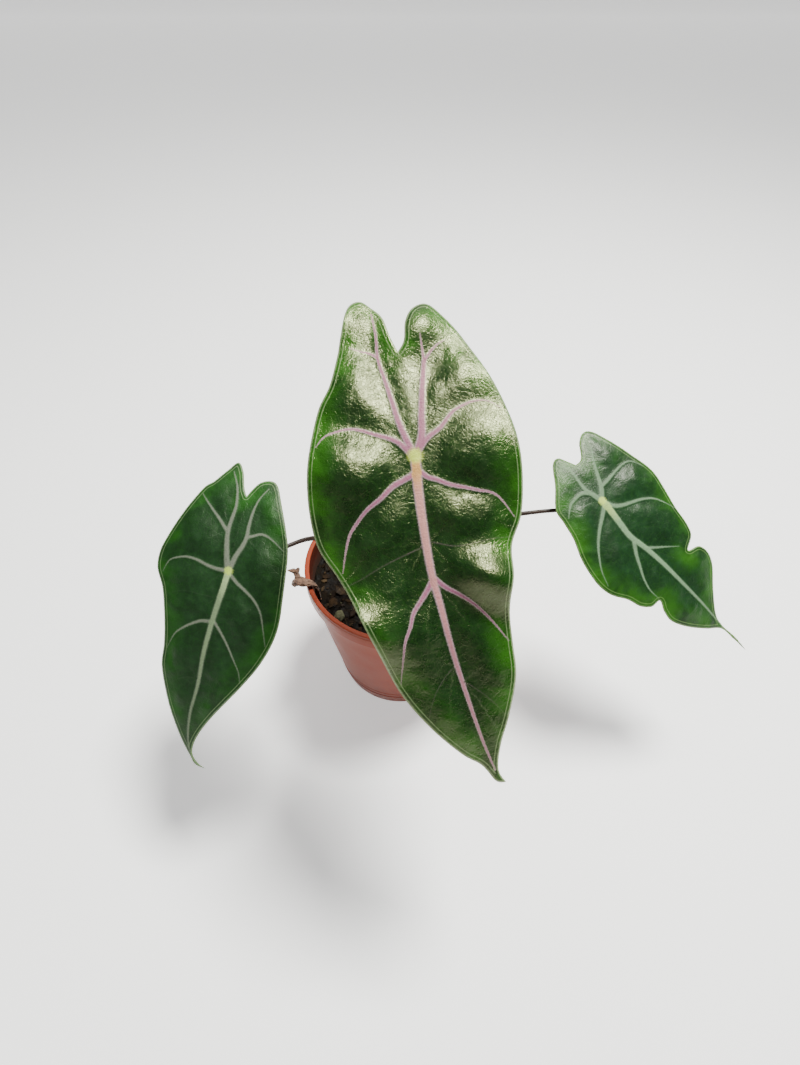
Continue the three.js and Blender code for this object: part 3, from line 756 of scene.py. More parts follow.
    def creased(self, s: Sketch, where: Any, fine: Any, net: Any) -> Any:
        """Presses pleats, curly creases, small veins and grain into the upper side.

        Args:
            s: The material that is drawn.
            where: The place on the blade.
            fine: Noise near 0.5 in fine grains.
            net: The distance to the net's lines.

        Returns:
            The bumpy normal.
        """
        streaks = s.noise(s.kept_place("streak"), 1.0, 3, curl=0.4)
        streaked = s.band(s.kept("vein_gap"), 11, 1, 0.1, 1.0)
        curly = s.noise(s.warped(where, 5, 3.2), 1.5, 4, curl=1.4, rough=0.62)
        veinlets = s.cells(s.warped(where, 1.6, 0.8), 1.5)
        return s.relief((s.times(streaks, streaked), 0.15 * self.creases), (curly, 0.085 * self.creases),
                        (s.band(net, 0.0, 0.12), 0.03),
                        (s.band(veinlets, 0.0, 0.16), 0.035 * self.creases), (fine, 0.012))

    def lower(self) -> bpy.types.Material:
        """Makes the wine-red underside, with paler ribs and a green margin.

        Returns:
            The material.
        """
        s = Sketch(f"{self.name}_lower")
        where = s.moved(s.kept_place("leaf"), (5.0, 9.0, self.seed))
        margin = s.kept("margin_gap")
        wobble = s.plus(-0.5, s.noise(where, 1.1, 3))
        patchy = s.noise(where, 6, 4, rough=0.6)
        net = s.cells(s.warped(where, 2.6, 1.3), 3.0)
        near_margin = s.band(s.plus(margin, wobble, 6), 7, 0.5)
        colour = s.blend(near_margin, self.under, dimmed(self.fresh, 0.55))
        colour = s.shade(colour, patchy, 0.7, 1.35)
        colour = s.blend(s.band(net, 0.09, 0.0, 0.0, 0.35), colour, self.under_vein)
        ribs = s.band(s.plus(s.kept("vein_gap"), wobble), 0.9, -0.3)
        ribs = s.times(ribs, s.band(s.kept("vein_width"), 0.2, 1.4, 0.4, 1))
        colour = s.blend(ribs, colour, self.under_vein)
        colour = s.blend(s.band(s.kept("joint_gap"), 9, 2), colour, dimmed(self.joint, 0.6))
        colour = s.shade(colour, s.noise(where, 0.5, 3), 0.8, 1.2)
        colour = s.blend(s.band(margin, 0.8, 0.3, 0.0, 0.7), colour, self.margin)
        normal = s.relief((s.band(net, 0.12, 0.0), 0.08), (s.noise(where, 0.6, 3, curl=0.8), 0.07))
        s.surface(Base_Color=colour, Normal=normal, Roughness=s.spread(patchy, 0.46, 0.6),
                  Specular_IOR_Level=0.18)
        return s.material


@dataclass(frozen=True)
class PlasticFinish:
    """Thin moulded terracotta-coloured plastic, scuffed and dusty with soil, with painted shade over its
    inner wall.
    """

    name: str = "terracotta_plastic"
    fresh: Colour = (0.21, 0.034, 0.013)
    worn: Colour = (0.24, 0.055, 0.028)
    inner_shade: Colour = (0.075, 0.016, 0.009)
    dust: Colour = (0.02, 0.013, 0.008)
    inner_shade_heights: Span = (104.8, 103.6)
    soil_heights: Span = (92, 82)
    splash_heights: Span = (16, 0)

    def material(self) -> bpy.types.Material:
        """Draws the finish.

        Returns:
            The material.
        """
        s = Sketch(self.name)
        where, height, within = s.place(), s.height(), s.kept("inside")
        cloudy = s.noise(where, 22, 4)
        grain = s.noise(where, 0.5, 2)
        colour = s.blend(s.band(cloudy, 0.35, 0.7, 0.0, 0.35), self.fresh, self.worn)
        colour = s.shade(colour, grain, 0.93, 1.07)
        scuffs = s.band(s.noise(s.place((6, 6, 0.7)), 1.2, 5, curl=0.5, rough=0.7), 0.62, 0.72)
        colour = s.blend(s.times(scuffs, 0.3), colour, self.worn)
        # Painted shade: the inner wall below the rim's top is darkened to a dark red-brown.
        colour = s.blend(s.times(within, s.band(height, *self.inner_shade_heights)), colour, self.inner_shade)
        splash = s.noise(where, 3.2, 5, rough=0.7)
        soiled = s.times(within, s.band(s.plus(height, splash, -16), *self.soil_heights))
        foot = s.times(s.band(height, *self.splash_heights), s.band(splash, 0.45, 0.65, 0, 0.6))
        specks = s.times(within, s.band(s.noise(where, 1.3, 3, rough=0.7), 0.66, 0.72, 0.0, 0.75))
        dirt = s.sum("MAXIMUM", soiled, s.sum("MAXIMUM", foot, specks))
        colour = s.blend(s.times(dirt, 0.75), colour, self.dust)
        brushed = s.noise(s.place((1, 1, 9)), 2.2, 3)
        normal = s.relief((brushed, 0.05), (scuffs, -0.02), (grain, 0.012), (dirt, 0.12))
        roughness = s.plus(s.spread(cloudy, 0.34, 0.44), dirt, 0.4)
        s.surface(Base_Color=colour, Roughness=roughness, Normal=normal, Specular_IOR_Level=0.22)
        return s.material


@dataclass(frozen=True)
class MixFinish:
    """Moist bark, coir and mineral grains, told apart by the tint kept at their points."""

    name: str = "bark_and_coir"
    wet: Colour = (0.0035, 0.0025, 0.0013)
    bark: Colour = (0.020, 0.011, 0.005)
    pale: Colour = (0.055, 0.036, 0.018)
    mineral: Colour = (0.06, 0.062, 0.035)

    def material(self) -> bpy.types.Material:
        """Draws the finish.

        Returns:
            The material.
        """
        s = Sketch(self.name)
        where, tint = s.place(), s.kept("tint")
        layers = s.noise(s.place((1, 1, 0.4)), 1.6, 5, rough=0.65)
        colour = s.blend(s.band(tint, 0.0, 0.45), self.wet, self.bark)
        colour = s.blend(s.band(tint, 0.4, 0.75), colour, self.pale)
        colour = s.blend(s.band(tint, 0.8, 0.95), colour, self.mineral)
        damp = s.band(s.noise(where, 6, 3), 0.35, 0.65, 0.35, 1.0)
        colour = s.scaled(s.shade(colour, layers, 0.4, 1.6), damp)
        normal = s.relief((layers, 0.35), (s.noise(where, 0.4, 3, rough=0.7), 0.12))
        s.surface(Base_Color=colour, Normal=normal, Roughness=s.band(damp, 0.35, 1.0, 0.6, 0.95),
                  Specular_IOR_Level=0.1)
        return s.material


@dataclass(frozen=True)
class CorkFinish:
    """The crown's corky skin, ringed with scars."""

    name: str = "corky_crown"
    green: Colour = (0.16, 0.15, 0.06)
    cork: Colour = (0.19, 0.12, 0.06)
    scar: Colour = (0.06, 0.035, 0.02)
    green_heights: Span = (90, 98)

    def material(self) -> bpy.types.Material:
        """Draws the finish.

        Returns:
            The material.
        """
        s = Sketch(self.name)
        fibres = s.noise(s.place((0.5, 0.5, 5)), 1.0, 4, rough=0.6)
        patches = s.noise(s.place(), 3.5, 4)
        colour = s.blend(s.band(s.height(), *self.green_heights), self.cork, self.green)
        colour = s.blend(s.band(s.kept("scar"), 0.4, 0.9), colour, self.scar)
        colour = s.shade(s.shade(colour, fibres, 0.6, 1.4), patches, 0.75, 1.25)
        normal = s.relief((fibres, 0.3), (s.noise(s.place(), 0.6, 3), 0.1))
        s.surface(Base_Color=colour, Normal=normal, Roughness=s.spread(patches, 0.6, 0.85))
        return s.material


@dataclass(frozen=True)
class DryFinish:
    """Dried leaf tissue: brown, papery and wrinkled along its old veins."""

    name: str
    pale: Colour = (0.155, 0.080, 0.044)
    dark: Colour = (0.040, 0.018, 0.010)

    def material(self) -> bpy.types.Material:
        """Draws the finish.

        Returns:
            The material.
        """
        s = Sketch(self.name)
        where = s.kept_place("sheet")
        ridges = s.noise(s.stretched(where, (1.0, 0.12, 1.0)), 0.6, 4)
        blotches = s.noise(s.place(), 3.2, 5, rough=0.65)
        spots = s.band(s.noise(s.place(), 1.0, 3), 0.62, 0.72, 0.0, 0.6)
        colour = s.blend(s.band(blotches, 0.38, 0.68), self.pale, self.dark)
        colour = s.blend(spots, colour, self.dark)
        colour = s.shade(colour, ridges, 0.7, 1.3)
        normal = s.relief((ridges, 0.25), (s.noise(s.place(), 0.7, 4, curl=0.8), 0.2))
        s.surface(Base_Color=colour, Normal=normal, Roughness=s.spread(blotches, 0.6, 0.85),
                  Sheen_Weight=0.1)
        return s.material


@dataclass(frozen=True)
class StalkFinish:
    """The dark brown, faintly streaked skin of a petiole."""

    name: str = "petiole_skin"
    skin: Colour = (0.018, 0.009, 0.006)
    streak: Colour = (0.045, 0.025, 0.014)
    sheath: Colour = (0.17, 0.15, 0.065)

    def material(self) -> bpy.types.Material:
        """Draws the finish.

        Returns:
            The material.
        """
        s = Sketch(self.name)
        where = s.kept_place("stalk")
        streaks = s.noise(s.stretched(where, (1.0, 1.0, 0.07)), 0.5, 4)
        flecks = s.noise(s.stretched(where, (1.0, 1.0, 0.3)), 0.9, 3)
        colour = s.blend(s.band(streaks, 0.45, 0.7, 0.0, 0.8), self.skin, self.streak)
        colour = s.blend(s.band(flecks, 0.6, 0.7, 0.0, 0.5), colour, self.streak)
        sheathed = s.times(s.kept("sheath"), s.band(streaks, 0.3, 0.6, 0.45, 1.0))
        colour = s.blend(sheathed, colour, self.sheath)
        s.surface(Base_Color=colour, Normal=s.relief((streaks, 0.08)), Specular_IOR_Level=0.25,
                  Roughness=s.spread(streaks, 0.36, 0.5))
        return s.material


# The studio


@dataclass(frozen=True)
class Lamp:
    """A round soft light that faces a target."""

    name: str
    place: Place
    target: Place
    size: float
    watts: float
    colour: Colour = (1.0, 1.0, 1.0)

    def hang(self) -> None:
        """Makes the light."""
        lamp = bpy.data.lights.new(self.name, "AREA")
        lamp.shape = "DISK"
        lamp.size = self.size * MM
        lamp.energy = self.watts
        lamp.color = self.colour
        holder = placed(self.name, lamp)
        holder.location = Vector(self.place) * MM
        back = Vector(self.place) - Vector(self.target)
        holder.rotation_euler = back.to_track_quat("Z", "Y").to_euler()


@dataclass
class Studio:
    """A plain pale floor, soft lights and the camera."""

    eye: Place = (0, -246.3, 393)
    look_down: float = 46.7
    lens: float = 20.28
    floor_colour: Colour = (0.86, 0.86, 0.85)
    floor_glow: float = 0.72
    room_colour: Colour = (0.95, 0.98, 1.0)
    room_strength: float = 0.06
    lamps: tuple[Lamp, ...] = (
        Lamp("window", (290, 190, 1290), (0, -60, 220), 380, 48, (1.0, 1.0, 0.96)),
        Lamp("front_fill", (-500, -1100, 700), (0, -40, 150), 900, 0.7, (0.96, 0.98, 1.0)),
    )

    def place_camera(self) -> None:
        """Sets the camera where the photo was taken from."""
        lens = bpy.data.cameras.new("camera")
        lens.lens = self.lens
        lens.sensor_width = 36
        lens.clip_start = 0.01
        camera = placed("camera", lens)
        camera.location = Vector(self.eye) * MM
        camera.rotation_euler = (math.radians(90 - self.look_down), 0, 0)
        bpy.context.scene.camera = camera

    def light(self) -> None:
        """Hangs the soft lights and fills the room with pale light."""
        for lamp in self.lamps:
            lamp.hang()
        world = bpy.data.worlds.new("room")
        world.use_nodes = True
        background = world.node_tree.nodes["Background"]
        background.inputs["Color"].default_value = (*self.room_colour, 1.0)
        background.inputs["Strength"].default_value = self.room_strength
        bpy.context.scene.world = world

    def lay_floor(self) -> None:
        """Lays the floor, which bends up far behind the plant."""
        reach, bend, top = 3500.0, 500.0, 4500.0
        turns = np.linspace(0.1, math.pi / 2, 14)
        run = [(-reach, 0.0), (-600.0, 0.0), (600.0, 0.0), (reach, 0.0)]
        run += [(reach + bend * math.sin(turn), bend * (1 - math.cos(turn))) for turn in turns]
        run += [(reach + bend, top)]
        points = np.array([(side * reach, y, z) for y, z in run for side in (-1, 1)])
        faces = [(2 * row, 2 * row + 1, 2 * row + 3, 2 * row + 2) for row in range(len(run) - 1)]
        mesh = mesh_of("floor", points, faces)
        mesh.polygons.foreach_set("use_smooth", [True] * len(faces))
        s = Sketch("pale_floor")
        s.surface(Base_Color=self.floor_colour, Roughness=0.8, Emission_Color=(1.0, 1.0, 0.99),
                  Emission_Strength=self.floor_glow)
        mesh.materials.append(s.material)
        floor = placed("floor", mesh)

    def set_up(self) -> None:
        """Sets up the camera, the lights and the floor."""
        self.place_camera()
        self.light()
        self.lay_floor()


# The pot and what it holds


@dataclass
class NurseryPot:
    """A thin tapered pot with a collar and drain holes."""

    height: float = 105
    rim_radius: float = 60
    collar_height: float = 9.5
    collar_step: float = 2
    rim_width: float = 3
    wall: float = 1.2
    base_radius: float = 42
    floor: float = 2
    drain_count: int = 6
    drain_circle: float = 30
    drain_radius: float = 3.5
    sides: int = 160
    finish: PlasticFinish = PlasticFinish()

    @property
    def collar_foot(self) -> float:
        """The height at which the collar starts."""
        return self.height - self.collar_height

    def inner_radius(self, z: float) -> float:
        """Gives the radius of the inside at a height.

        Args:
            z: The height.

        Returns:
            The radius.
        """
        collar_inside = self.rim_radius - self.collar_step - self.wall
        if z > self.collar_foot:
            share = (z - self.collar_foot) / self.collar_height
            return mixed(collar_inside, self.rim_radius - self.rim_width, share)
        share = (z - self.floor) / (self.collar_foot - self.floor)
        return mixed(self.base_radius - self.wall, collar_inside, share)

    def outer_radius(self, z: float) -> float:
        """Gives the radius of the wall's outside at a height below the collar."""
        return self.inner_radius(z) + self.wall

    def profile(self) -> Array:
        """Draws the section, from the middle of the base round the rim to the middle of the floor.

        Returns:
            The section's points, each with its radius and height.
        """
        line, ledge = 0.35, 9.0
        wall_heights = (28, 45, 62, 79)
        # Two rings above the ledge: how high each corner is, and how far it stands out.
        rings = ((0, 0), (0.5, 1), (1.6, 1), (2.1, 0), (5, 0), (5.5, 0.7), (6.2, 0.7), (6.7, 0))
        corners = [(0, 0, 0), (self.base_radius - 1.2, 0, 0.4), (self.base_radius - 0.2, 1.2, 0.6)]
        corners += [(self.outer_radius(ledge + up) + out * line, ledge + up, 0.12) for up, out in rings]
        corners += [(self.outer_radius(z), z, 0) for z in wall_heights]
        corners += [
            (self.outer_radius(self.collar_foot), self.collar_foot, 0.4),
            (self.rim_radius, self.collar_foot, 0.55),
            (self.rim_radius, self.height - 2.6, 0.4),
            (self.rim_radius - line, self.height - 2.2, 0.2),
            (self.rim_radius - line, self.height - 1.9, 0.1),
            (self.rim_radius, self.height - 1.6, 0.2),
            (self.rim_radius, self.height, 0.75),
            (self.rim_radius - self.rim_width, self.height, 0.8),
            (self.inner_radius(self.collar_foot), self.collar_foot, 0.5),
        ]
        corners += [(self.inner_radius(z), z, 0) for z in reversed(wall_heights)]
        corners += [(self.inner_radius(self.floor + 0.5), self.floor, 1.4), (0, self.floor, 0)]
        return rounded_profile(corners)

    def drill(self, pot: bpy.types.Object) -> None:
        """Cuts the drain holes through the pot's floor.

        Args:
            pot: The pot.
        """
        drills = Shell("drills")
        profile = np.array([(self.drain_radius, -1), (self.drain_radius, self.floor + 1)])
        hole = turned_rings(profile, 40)
        for drain in range(self.drain_count):
            angle = 2 * math.pi * drain / self.drain_count
            way = np.array([math.cos(angle), math.sin(angle), 0])
            drills.loft(hole + self.drain_circle * way)
        cutter = placed("drills", mesh_of("drills", np.vstack(drills.points), drills.faces))
        cut = pot.modifiers.new("drains", "BOOLEAN")
        cut.operation = "DIFFERENCE"
        cut.solver = "EXACT"
        cut.object = cutter
        graph = bpy.context.evaluated_depsgraph_get()
        drilled = bpy.data.meshes.new_from_object(pot.evaluated_get(graph), preserve_all_data_layers=True,
                                                  depsgraph=graph)
        pot.modifiers.remove(cut)
        pot.data = drilled
        bpy.data.objects.remove(cutter)

    def build(self) -> bpy.types.Object:
        """Turns the section and drills the drain holes.

        Returns:
            The pot.
        """
        profile = self.profile()
        profile[[0, -1], 0] = 0.01
        shell = Shell("nursery_pot")
        rim = int(np.argmax(profile[:, 1]))
        held = np.repeat((np.arange(len(profile)) > rim).astype(float), self.sides)
        shell.loft(turned_rings(profile, self.sides), inside=np.concatenate([held, [0, 1]]))
        pot = shell.built([self.finish.material()], Slot.POT, "pot")
        self.drill(pot)
        return pot


@dataclass
class PottingMix:
    """Loose bark, coir and mineral grains, with the crown's hole in their middle."""

    pot: NurseryPot
    level: float = 90
    swell: float = 1.6
    hole_radius: float = 8.9
    hole_bottom: float = 73.7
    sides: int = 150
    rows: int = 44
    flakes: int = 300
    crumbs: int = 620
    fibres: int = 150
    bare_spot: Spot = (-50, -17.5)
    bare_reach: float = 5
    heap: float = 7
    mineral_share: float = 0.13
    bark_tints: tuple[float, ...] = (0.15, 0.25, 0.3, 0.4, 0.45, 0.5, 0.62, 0.7)
    mineral_tints: Span = (0.86, 1.0)
    crumb_tints: tuple[float, ...] = (0.05, 0.15, 0.3, 0.42, 0.55, 0.9)
    fibre_tints: Span = (0.42, 0.78)
    seed: int = 23
    finish: MixFinish = MixFinish()

    def surface(self, x: Any, y: Any) -> Any:
        """Gives the height of the low mounds.

        Args:
            x: The place across the pot, or many of them.
            y: The place along it.

        Returns:
            The height of the surface there.
        """
        return (self.level + self.swell * np.sin(x / 11 + 0.6) * np.cos(y / 9 - 0.8)
                + 0.5 * self.swell * np.sin((x + y) / 5.3))

    def body(self, shell: Shell) -> None:
        """Adds the mix's body, with a rough top.

        Args:
            shell: The mesh that it is added to.
        """
        bottom = self.pot.floor + CLEARANCE
        top_radius = self.pot.inner_radius(self.level) - CLEARANCE
        profile = [(self.pot.inner_radius(bottom) - 2, bottom)]
        profile += [(self.pot.inner_radius(z) - CLEARANCE, z) for z in (bottom + 2, 45)]
        profile += [(top_radius - 1.2, self.level - 4)]
        outer = turned_rings(np.array(profile), self.sides)
        radii = mixed(top_radius - 0.8, self.hole_radius, np.linspace(0, 1, self.rows))
        top = turned_rings(np.column_stack([radii, radii]), self.sides)
        flat = top.reshape(-1, 3)
        loose = eased(np.hypot(flat[:, 0], flat[:, 1]), 9, 14)
        from_bare = np.hypot(flat[:, 0] - self.bare_spot[0], flat[:, 1] - self.bare_spot[1])
        loose *= eased(from_bare, 2, self.bare_reach + 2)
        lumps = 0.9 * rippled(flat[:, :2], 3.1, 4.2) + 0.5 * rippled(flat[:, :2], 1.3, 7.7)
        flat[:, 2] = self.surface(flat[:, 0], flat[:, 1]) + loose * lumps - 0.5
        hole = turned_rings(np.array([(self.hole_radius, self.hole_bottom)]), self.sides)
        rings = np.concatenate([outer, flat.reshape(top.shape), hole])
        tint = 0.05 + 0.12 * np.random.default_rng(self.seed).random(rings.size // 3 + 2)
        shell.loft(rings, rounded=False, tint=tint)

    def spot(self, draw: random.Random, room: float) -> Spot | None:
        """Draws a place on the mix, clear of the wall, the crown and the withered leaf.

        Args:
            draw: The stream of random numbers.
            room: How far the grain reaches from its middle.

        Returns:
            The place, or nothing where the grain has no room.
        """
        angle = draw.uniform(0, 2 * math.pi)
        far = self.pot.inner_radius(self.level) - CLEARANCE - 0.4 - room
        reach = math.sqrt(draw.uniform((self.hole_radius + 1.2 + room) ** 2, far**2))
        x, y = reach * math.cos(angle), reach * math.sin(angle)
        crowded = math.dist((x, y), self.bare_spot) < self.bare_reach + 0.5 * room
        return None if crowded else (x, y)

    def flake(self, shell: Shell, draw: random.Random) -> None:
        """Adds a chip of bark: an angular slab with broken edges.

        Args:
            shell: The mesh that it is added to.
            draw: The stream of random numbers.
        """
        long = mixed(1.6, 6.4, draw.random() ** 1.7)
        wide, thick = long * draw.uniform(0.45, 0.85), long * draw.uniform(0.22, 0.5)
        tint = draw.choice(self.bark_tints) + draw.uniform(-0.08, 0.08)
        if draw.random() < self.mineral_share:
            tint = draw.uniform(*self.mineral_tints)
            wide, thick = 0.8 * long, 0.7 * long
        corners = draw.randint(6, 9)
        outline = [(2 * math.pi * corner / corners + draw.uniform(-0.25, 0.25), draw.uniform(0.72, 1.1))
                   for corner in range(corners)]
        layers = ((-0.5, 0.62), (-0.28, 0.95), (0.22, 1.0), (0.5, draw.uniform(0.55, 0.85)))
        rings = [[(long * far * inset * math.cos(angle), wide * far * inset * math.sin(angle),
                   thick * level + draw.uniform(-0.08, 0.08) * thick) for angle, far in outline]
                 for level, inset in layers]
        turn = Euler((draw.uniform(-0.5, 0.5), draw.uniform(-0.55, 0.55), draw.uniform(0, 2 * math.pi)))
        spot = self.spot(draw, 1.1 * long)
        if spot is None:
            return
        lift = np.array([*spot, self.surface(*spot) + thick * draw.uniform(-0.1, 0.45)])
        points = np.array(rings) @ np.array(turn.to_matrix()).T + lift
        points[..., 2] = np.minimum(points[..., 2], self.level + self.heap)
        shell.loft(points, rounded=False, tint=tint)

    def crumb(self, shell: Shell, draw: random.Random) -> None:
        """Adds a small crumb of compost or grit.

        Args:
            shell: The mesh that it is added to.
            draw: The stream of random numbers.
        """
        size = mixed(0.35, 1.25, draw.random() ** 2)
        spot = self.spot(draw, size)
        if spot is None:
            return
        lift = np.array([*spot, self.surface(*spot) + size * draw.uniform(-0.1, 0.8)])
        rings = [[(size * wide * draw.uniform(0.75, 1.15) * math.cos(turn),
                   size * wide * draw.uniform(0.75, 1.15) * math.sin(turn), size * level)
                  for turn in round_angles(6)]
                 for level, wide in ((-0.7, 0.5), (-0.1, 1.0), (0.45, 0.75))]
        tint = draw.choice(self.crumb_tints)
        shell.loft(np.array(rings) + lift, rounded=False, tint=tint)

    def fibre(self, shell: Shell, draw: random.Random) -> None:
        """Adds a thread of coir that lies over the chips in a loose bow.

        Args:
            shell: The mesh that it is added to.
            draw: The stream of random numbers.
        """
        long = draw.uniform(5, 15)
        spot = self.spot(draw, 0.6 * long)
        if spot is None:
            return
        heading, bow = draw.uniform(0, 2 * math.pi), draw.uniform(-0.09, 0.09)
        steps = np.linspace(-0.5, 0.5, 12)
        angle = heading + bow * long * steps
        x = spot[0] + long * steps * np.cos(angle)
        y = spot[1] + long * steps * np.sin(angle)
        z = self.surface(x, y) + draw.uniform(0.3, 1.0) + draw.uniform(0.5, 2.2) * (0.25 - steps**2) * 4
        thick = draw.uniform(0.09, 0.2)
        rings = swept_rings(np.column_stack([x, y, z]), np.array([0.0, 0.0, 1.0]), 4,
                            lambda share, turn: thick * (1 - 0.7 * np.abs(2 * share - 1) ** 3) + 0 * turn)
        shell.loft(rings, tint=draw.uniform(*self.fibre_tints))

    def build(self) -> bpy.types.Object:
        """Heaps the mix.

        Returns:
            The mix as one piece.
        """
        draw = random.Random(self.seed)
        shell = Shell("potting_mix")
        self.body(shell)
        grains = ((self.flake, self.flakes), (self.crumb, self.crumbs), (self.fibre, self.fibres))
        for add, count in grains:
            for _ in range(count):
                add(shell, draw)
        return shell.built([self.finish.material()], Slot.MIX, "soil")


# The plant's foot


@dataclass
class Crown:
    """The short stem, ringed by the scars of old leaves."""

    radius: float = 8.6
    bottom: float = 74
    top: float = 98
    scar_depth: float = 0.5
    scars: int = 3
    sides: int = 96
    rows: int = 70
    finish: CorkFinish = CorkFinish()

    def build(self) -> bpy.types.Object:
        """Turns the stem and roughens its skin.

        Returns:
            The crown.
        """
        shares = np.linspace(0, 1, self.rows)
        body = self.radius * np.minimum(1, 0.45 + 1.1 * shares)
        scar = np.abs(np.sin(math.pi * self.scars * shares)) ** 0.6
        wall = np.column_stack([body - self.scar_depth * scar, mixed(self.bottom, self.top, shares)])
        cap = [(self.radius * share, self.top) for share in (0.97, 0.9, 0.7, 0.4, 0.1)]
        profile = np.vstack([[(0.1, self.bottom)], wall, cap])
        rings = turned_rings(profile, self.sides)
        flat = rings.reshape(-1, 3)
        outward = flat / np.maximum(np.hypot(flat[:, 0], flat[:, 1]), 0.5)[:, None]
        rough = 0.22 * rippled(flat * [1, 1, 0.25], 1.2, 3.0) - 0.22
        flat[:, :2] += outward[:, :2] * rough[:, None]
        flat[:, 2] = np.minimum(flat[:, 2] + 0.12 * rippled(flat[:, :2], 1.5, 9.0), self.top + 0.1)
        deep = np.repeat(np.concatenate([[0], 1 - scar, np.zeros(len(cap))]), self.sides)
        shell = Shell("leaf_crown")
        shell.loft(rings, scar=np.concatenate([deep, [0, 0]]))
        return shell.built([self.finish.material()], Slot.CROWN, "crown")


@dataclass
class DrySheath:
    """The papery scale that once wrapped the youngest leaf."""

    foot: float = 93.2
    height: float = 30
    radius: float = 8.95
    lean: float = 3.5
    thickness: float = 0.5
    spread: float = 42
    facing: float = 90
    rows: int = 90
    columns: int = 60
    finish: DryFinish = DryFinish("papery_sheath", (0.34, 0.22, 0.12), (0.13, 0.07, 0.03))

    def build(self) -> bpy.types.Object:
        """Bends the scale and tears its edges.

        Returns:
            The scale.
        """
        heights, sides = np.linspace(0, 1, self.rows), np.linspace(-1, 1, self.columns)
        up, side = np.meshgrid(heights, sides, indexing="ij")
        edge = np.column_stack([up.ravel() * self.height, np.sign(side.ravel())])
        torn = 1 - 0.10 * np.abs(rippled(edge, 2.4, 1.5)).reshape(up.shape) * np.abs(side)
        angle = math.radians(self.facing) + math.radians(self.spread) * (1 - 0.93 * up**1.5) * side * torn
        sheet = np.stack([side * 6, up * self.height, np.zeros_like(up)], axis=2).reshape(-1, 3)
        ridges = 0.10 * rippled(sheet * [1, 0.08, 1], 0.55, 2.0)
        ridges += 0.25 * rippled(sheet * [1, 0.5, 1], 4.0, 5.0)
        radius = self.radius + self.lean * up**2 + 0.3 + ridges.reshape(up.shape) * eased(up, 0, 0.2)
        height = self.foot + self.height * up
        faces_in, faces_out = (np.stack([far * np.cos(angle), far * np.sin(angle), height], axis=2)
                               for far in (radius, radius + self.thickness))
        rings = np.concatenate([faces_in[:, ::-1], faces_out], axis=1)
        sheet = sheet.reshape(self.rows, self.columns, 3)
        kept = np.concatenate([sheet[:, ::-1], sheet], axis=1).reshape(-1, 3)
        shell = Shell("dry_sheath_scale")
        shell.loft(rings, sheet=np.vstack([kept, np.zeros((2, 3))]))
        return shell.built([self.finish.material()], Slot.DRY, "dry_sheath")


@dataclass
class WitheredLeaf:
    """A shrivelled leaf that runs from the mix over the pot's rim."""

    roll: tuple[tuple[float, ...], ...] = (
        (-50.5, -17.5, 89.6, 1.5, 1), (-51, -17.8, 97, 1.9, 1.1), (-51.9, -18.2, 103.8, 2.5, 1.2),
        (-54.8, -18.6, 106.9, 3.6, 1.3), (-58.5, -18.8, 107.4, 4.6, 1.5), (-61.5, -18, 107.8, 5, 1.9),
        (-63.6, -18.8, 107, 4, 2), (-64.8, -20, 105.8, 2.2, 1.4))
    horn: tuple[tuple[float, ...], ...] = (
        (-62.2, -16, 108, 2, 1.5), (-63.2, -13.4, 109.4, 1.6, 1.3), (-64.4, -12.6, 110.8, 1.6, 1.2),
        (-66.2, -13.4, 112, 1.1, 0.9), (-68, -14, 113, 0.4, 0.4))
    ear: tuple[tuple[float, ...], ...] = (
        (-63.4, -13.4, 109.6, 1.4, 1.2), (-62.6, -11.6, 110.4, 1.3, 1.1), (-62, -10.2, 110.8, 0.7, 0.7))
    step: float = 0.35
    finish: DryFinish = DryFinish("withered_leaf_skin")

    def limb(self, shell: Shell, stations: Sequence[Sequence[float]], sides: int, seed: float) -> None:
        """Adds a crumpled roll.

        Args:
            shell: The mesh that it is added to.
            stations: Points along its middle, each with a half width and a half thickness.
            sides: The number of points around it.
            seed: Moves its crumples to another place.
        """
        whole, _ = evenly(smooth_line(stations, Spacing.CENTRIPETAL), self.step)
        path, half_width, half_thick = whole[:, :3], whole[:, 3:4], whole[:, 4:5]
        normals, others = carried_frames(path, np.array([0.0, 0.0, 1.0]))
        across = -others
        angles = round_angles(sides)[None, :]
        run = np.cumsum(np.full(len(path), self.step))[:, None]
        where = np.stack(np.broadcast_arrays(3 * np.cos(angles), 3 * np.sin(angles), run), axis=2)
        where = where.reshape(-1, 3)
        folds = 1 - np.abs(rippled(where * [1, 1, 0.8], 2.3, seed)) * 2.2
        pleats = 1 - np.abs(rippled(where * [1, 1, 0.5], 1.0, seed + 9)) * 2
        crumple = (0.80 + 0.24 * folds + 0.10 * pleats).reshape(len(path), sides)
        rings = (path[:, None] + (crumple * np.cos(angles) * half_width)[..., None] * across[:, None]
                 + (crumple * np.sin(angles) * half_thick)[..., None] * normals[:, None])
        shell.loft(rings, sheet=np.vstack([where, np.zeros((2, 3))]))

    def build(self) -> bpy.types.Object:
        """Crumples the leaf.

        Returns:
            The withered leaf.
        """
        shell = Shell("withered_leaf_roll")
        for stations, sides, seed in ((self.roll, 72, 1.0), (self.horn, 36, 6.0), (self.ear, 36, 8.0)):
            self.limb(shell, stations, sides, seed)
        return shell.built([self.finish.material()], Slot.DRY, "withered_leaf")


# Leaves


@dataclass(frozen=True)
class Vein:
    """A vein: its widths at its two ends, how deep the blade dips to it, and its line."""

    widths: Span
    dip: float
    line: tuple[Spot, ...]


@dataclass(frozen=True)
class Swell:
    """A place where a blade is puffed up."""

    middle: Spot
    reach: float
    rise: float


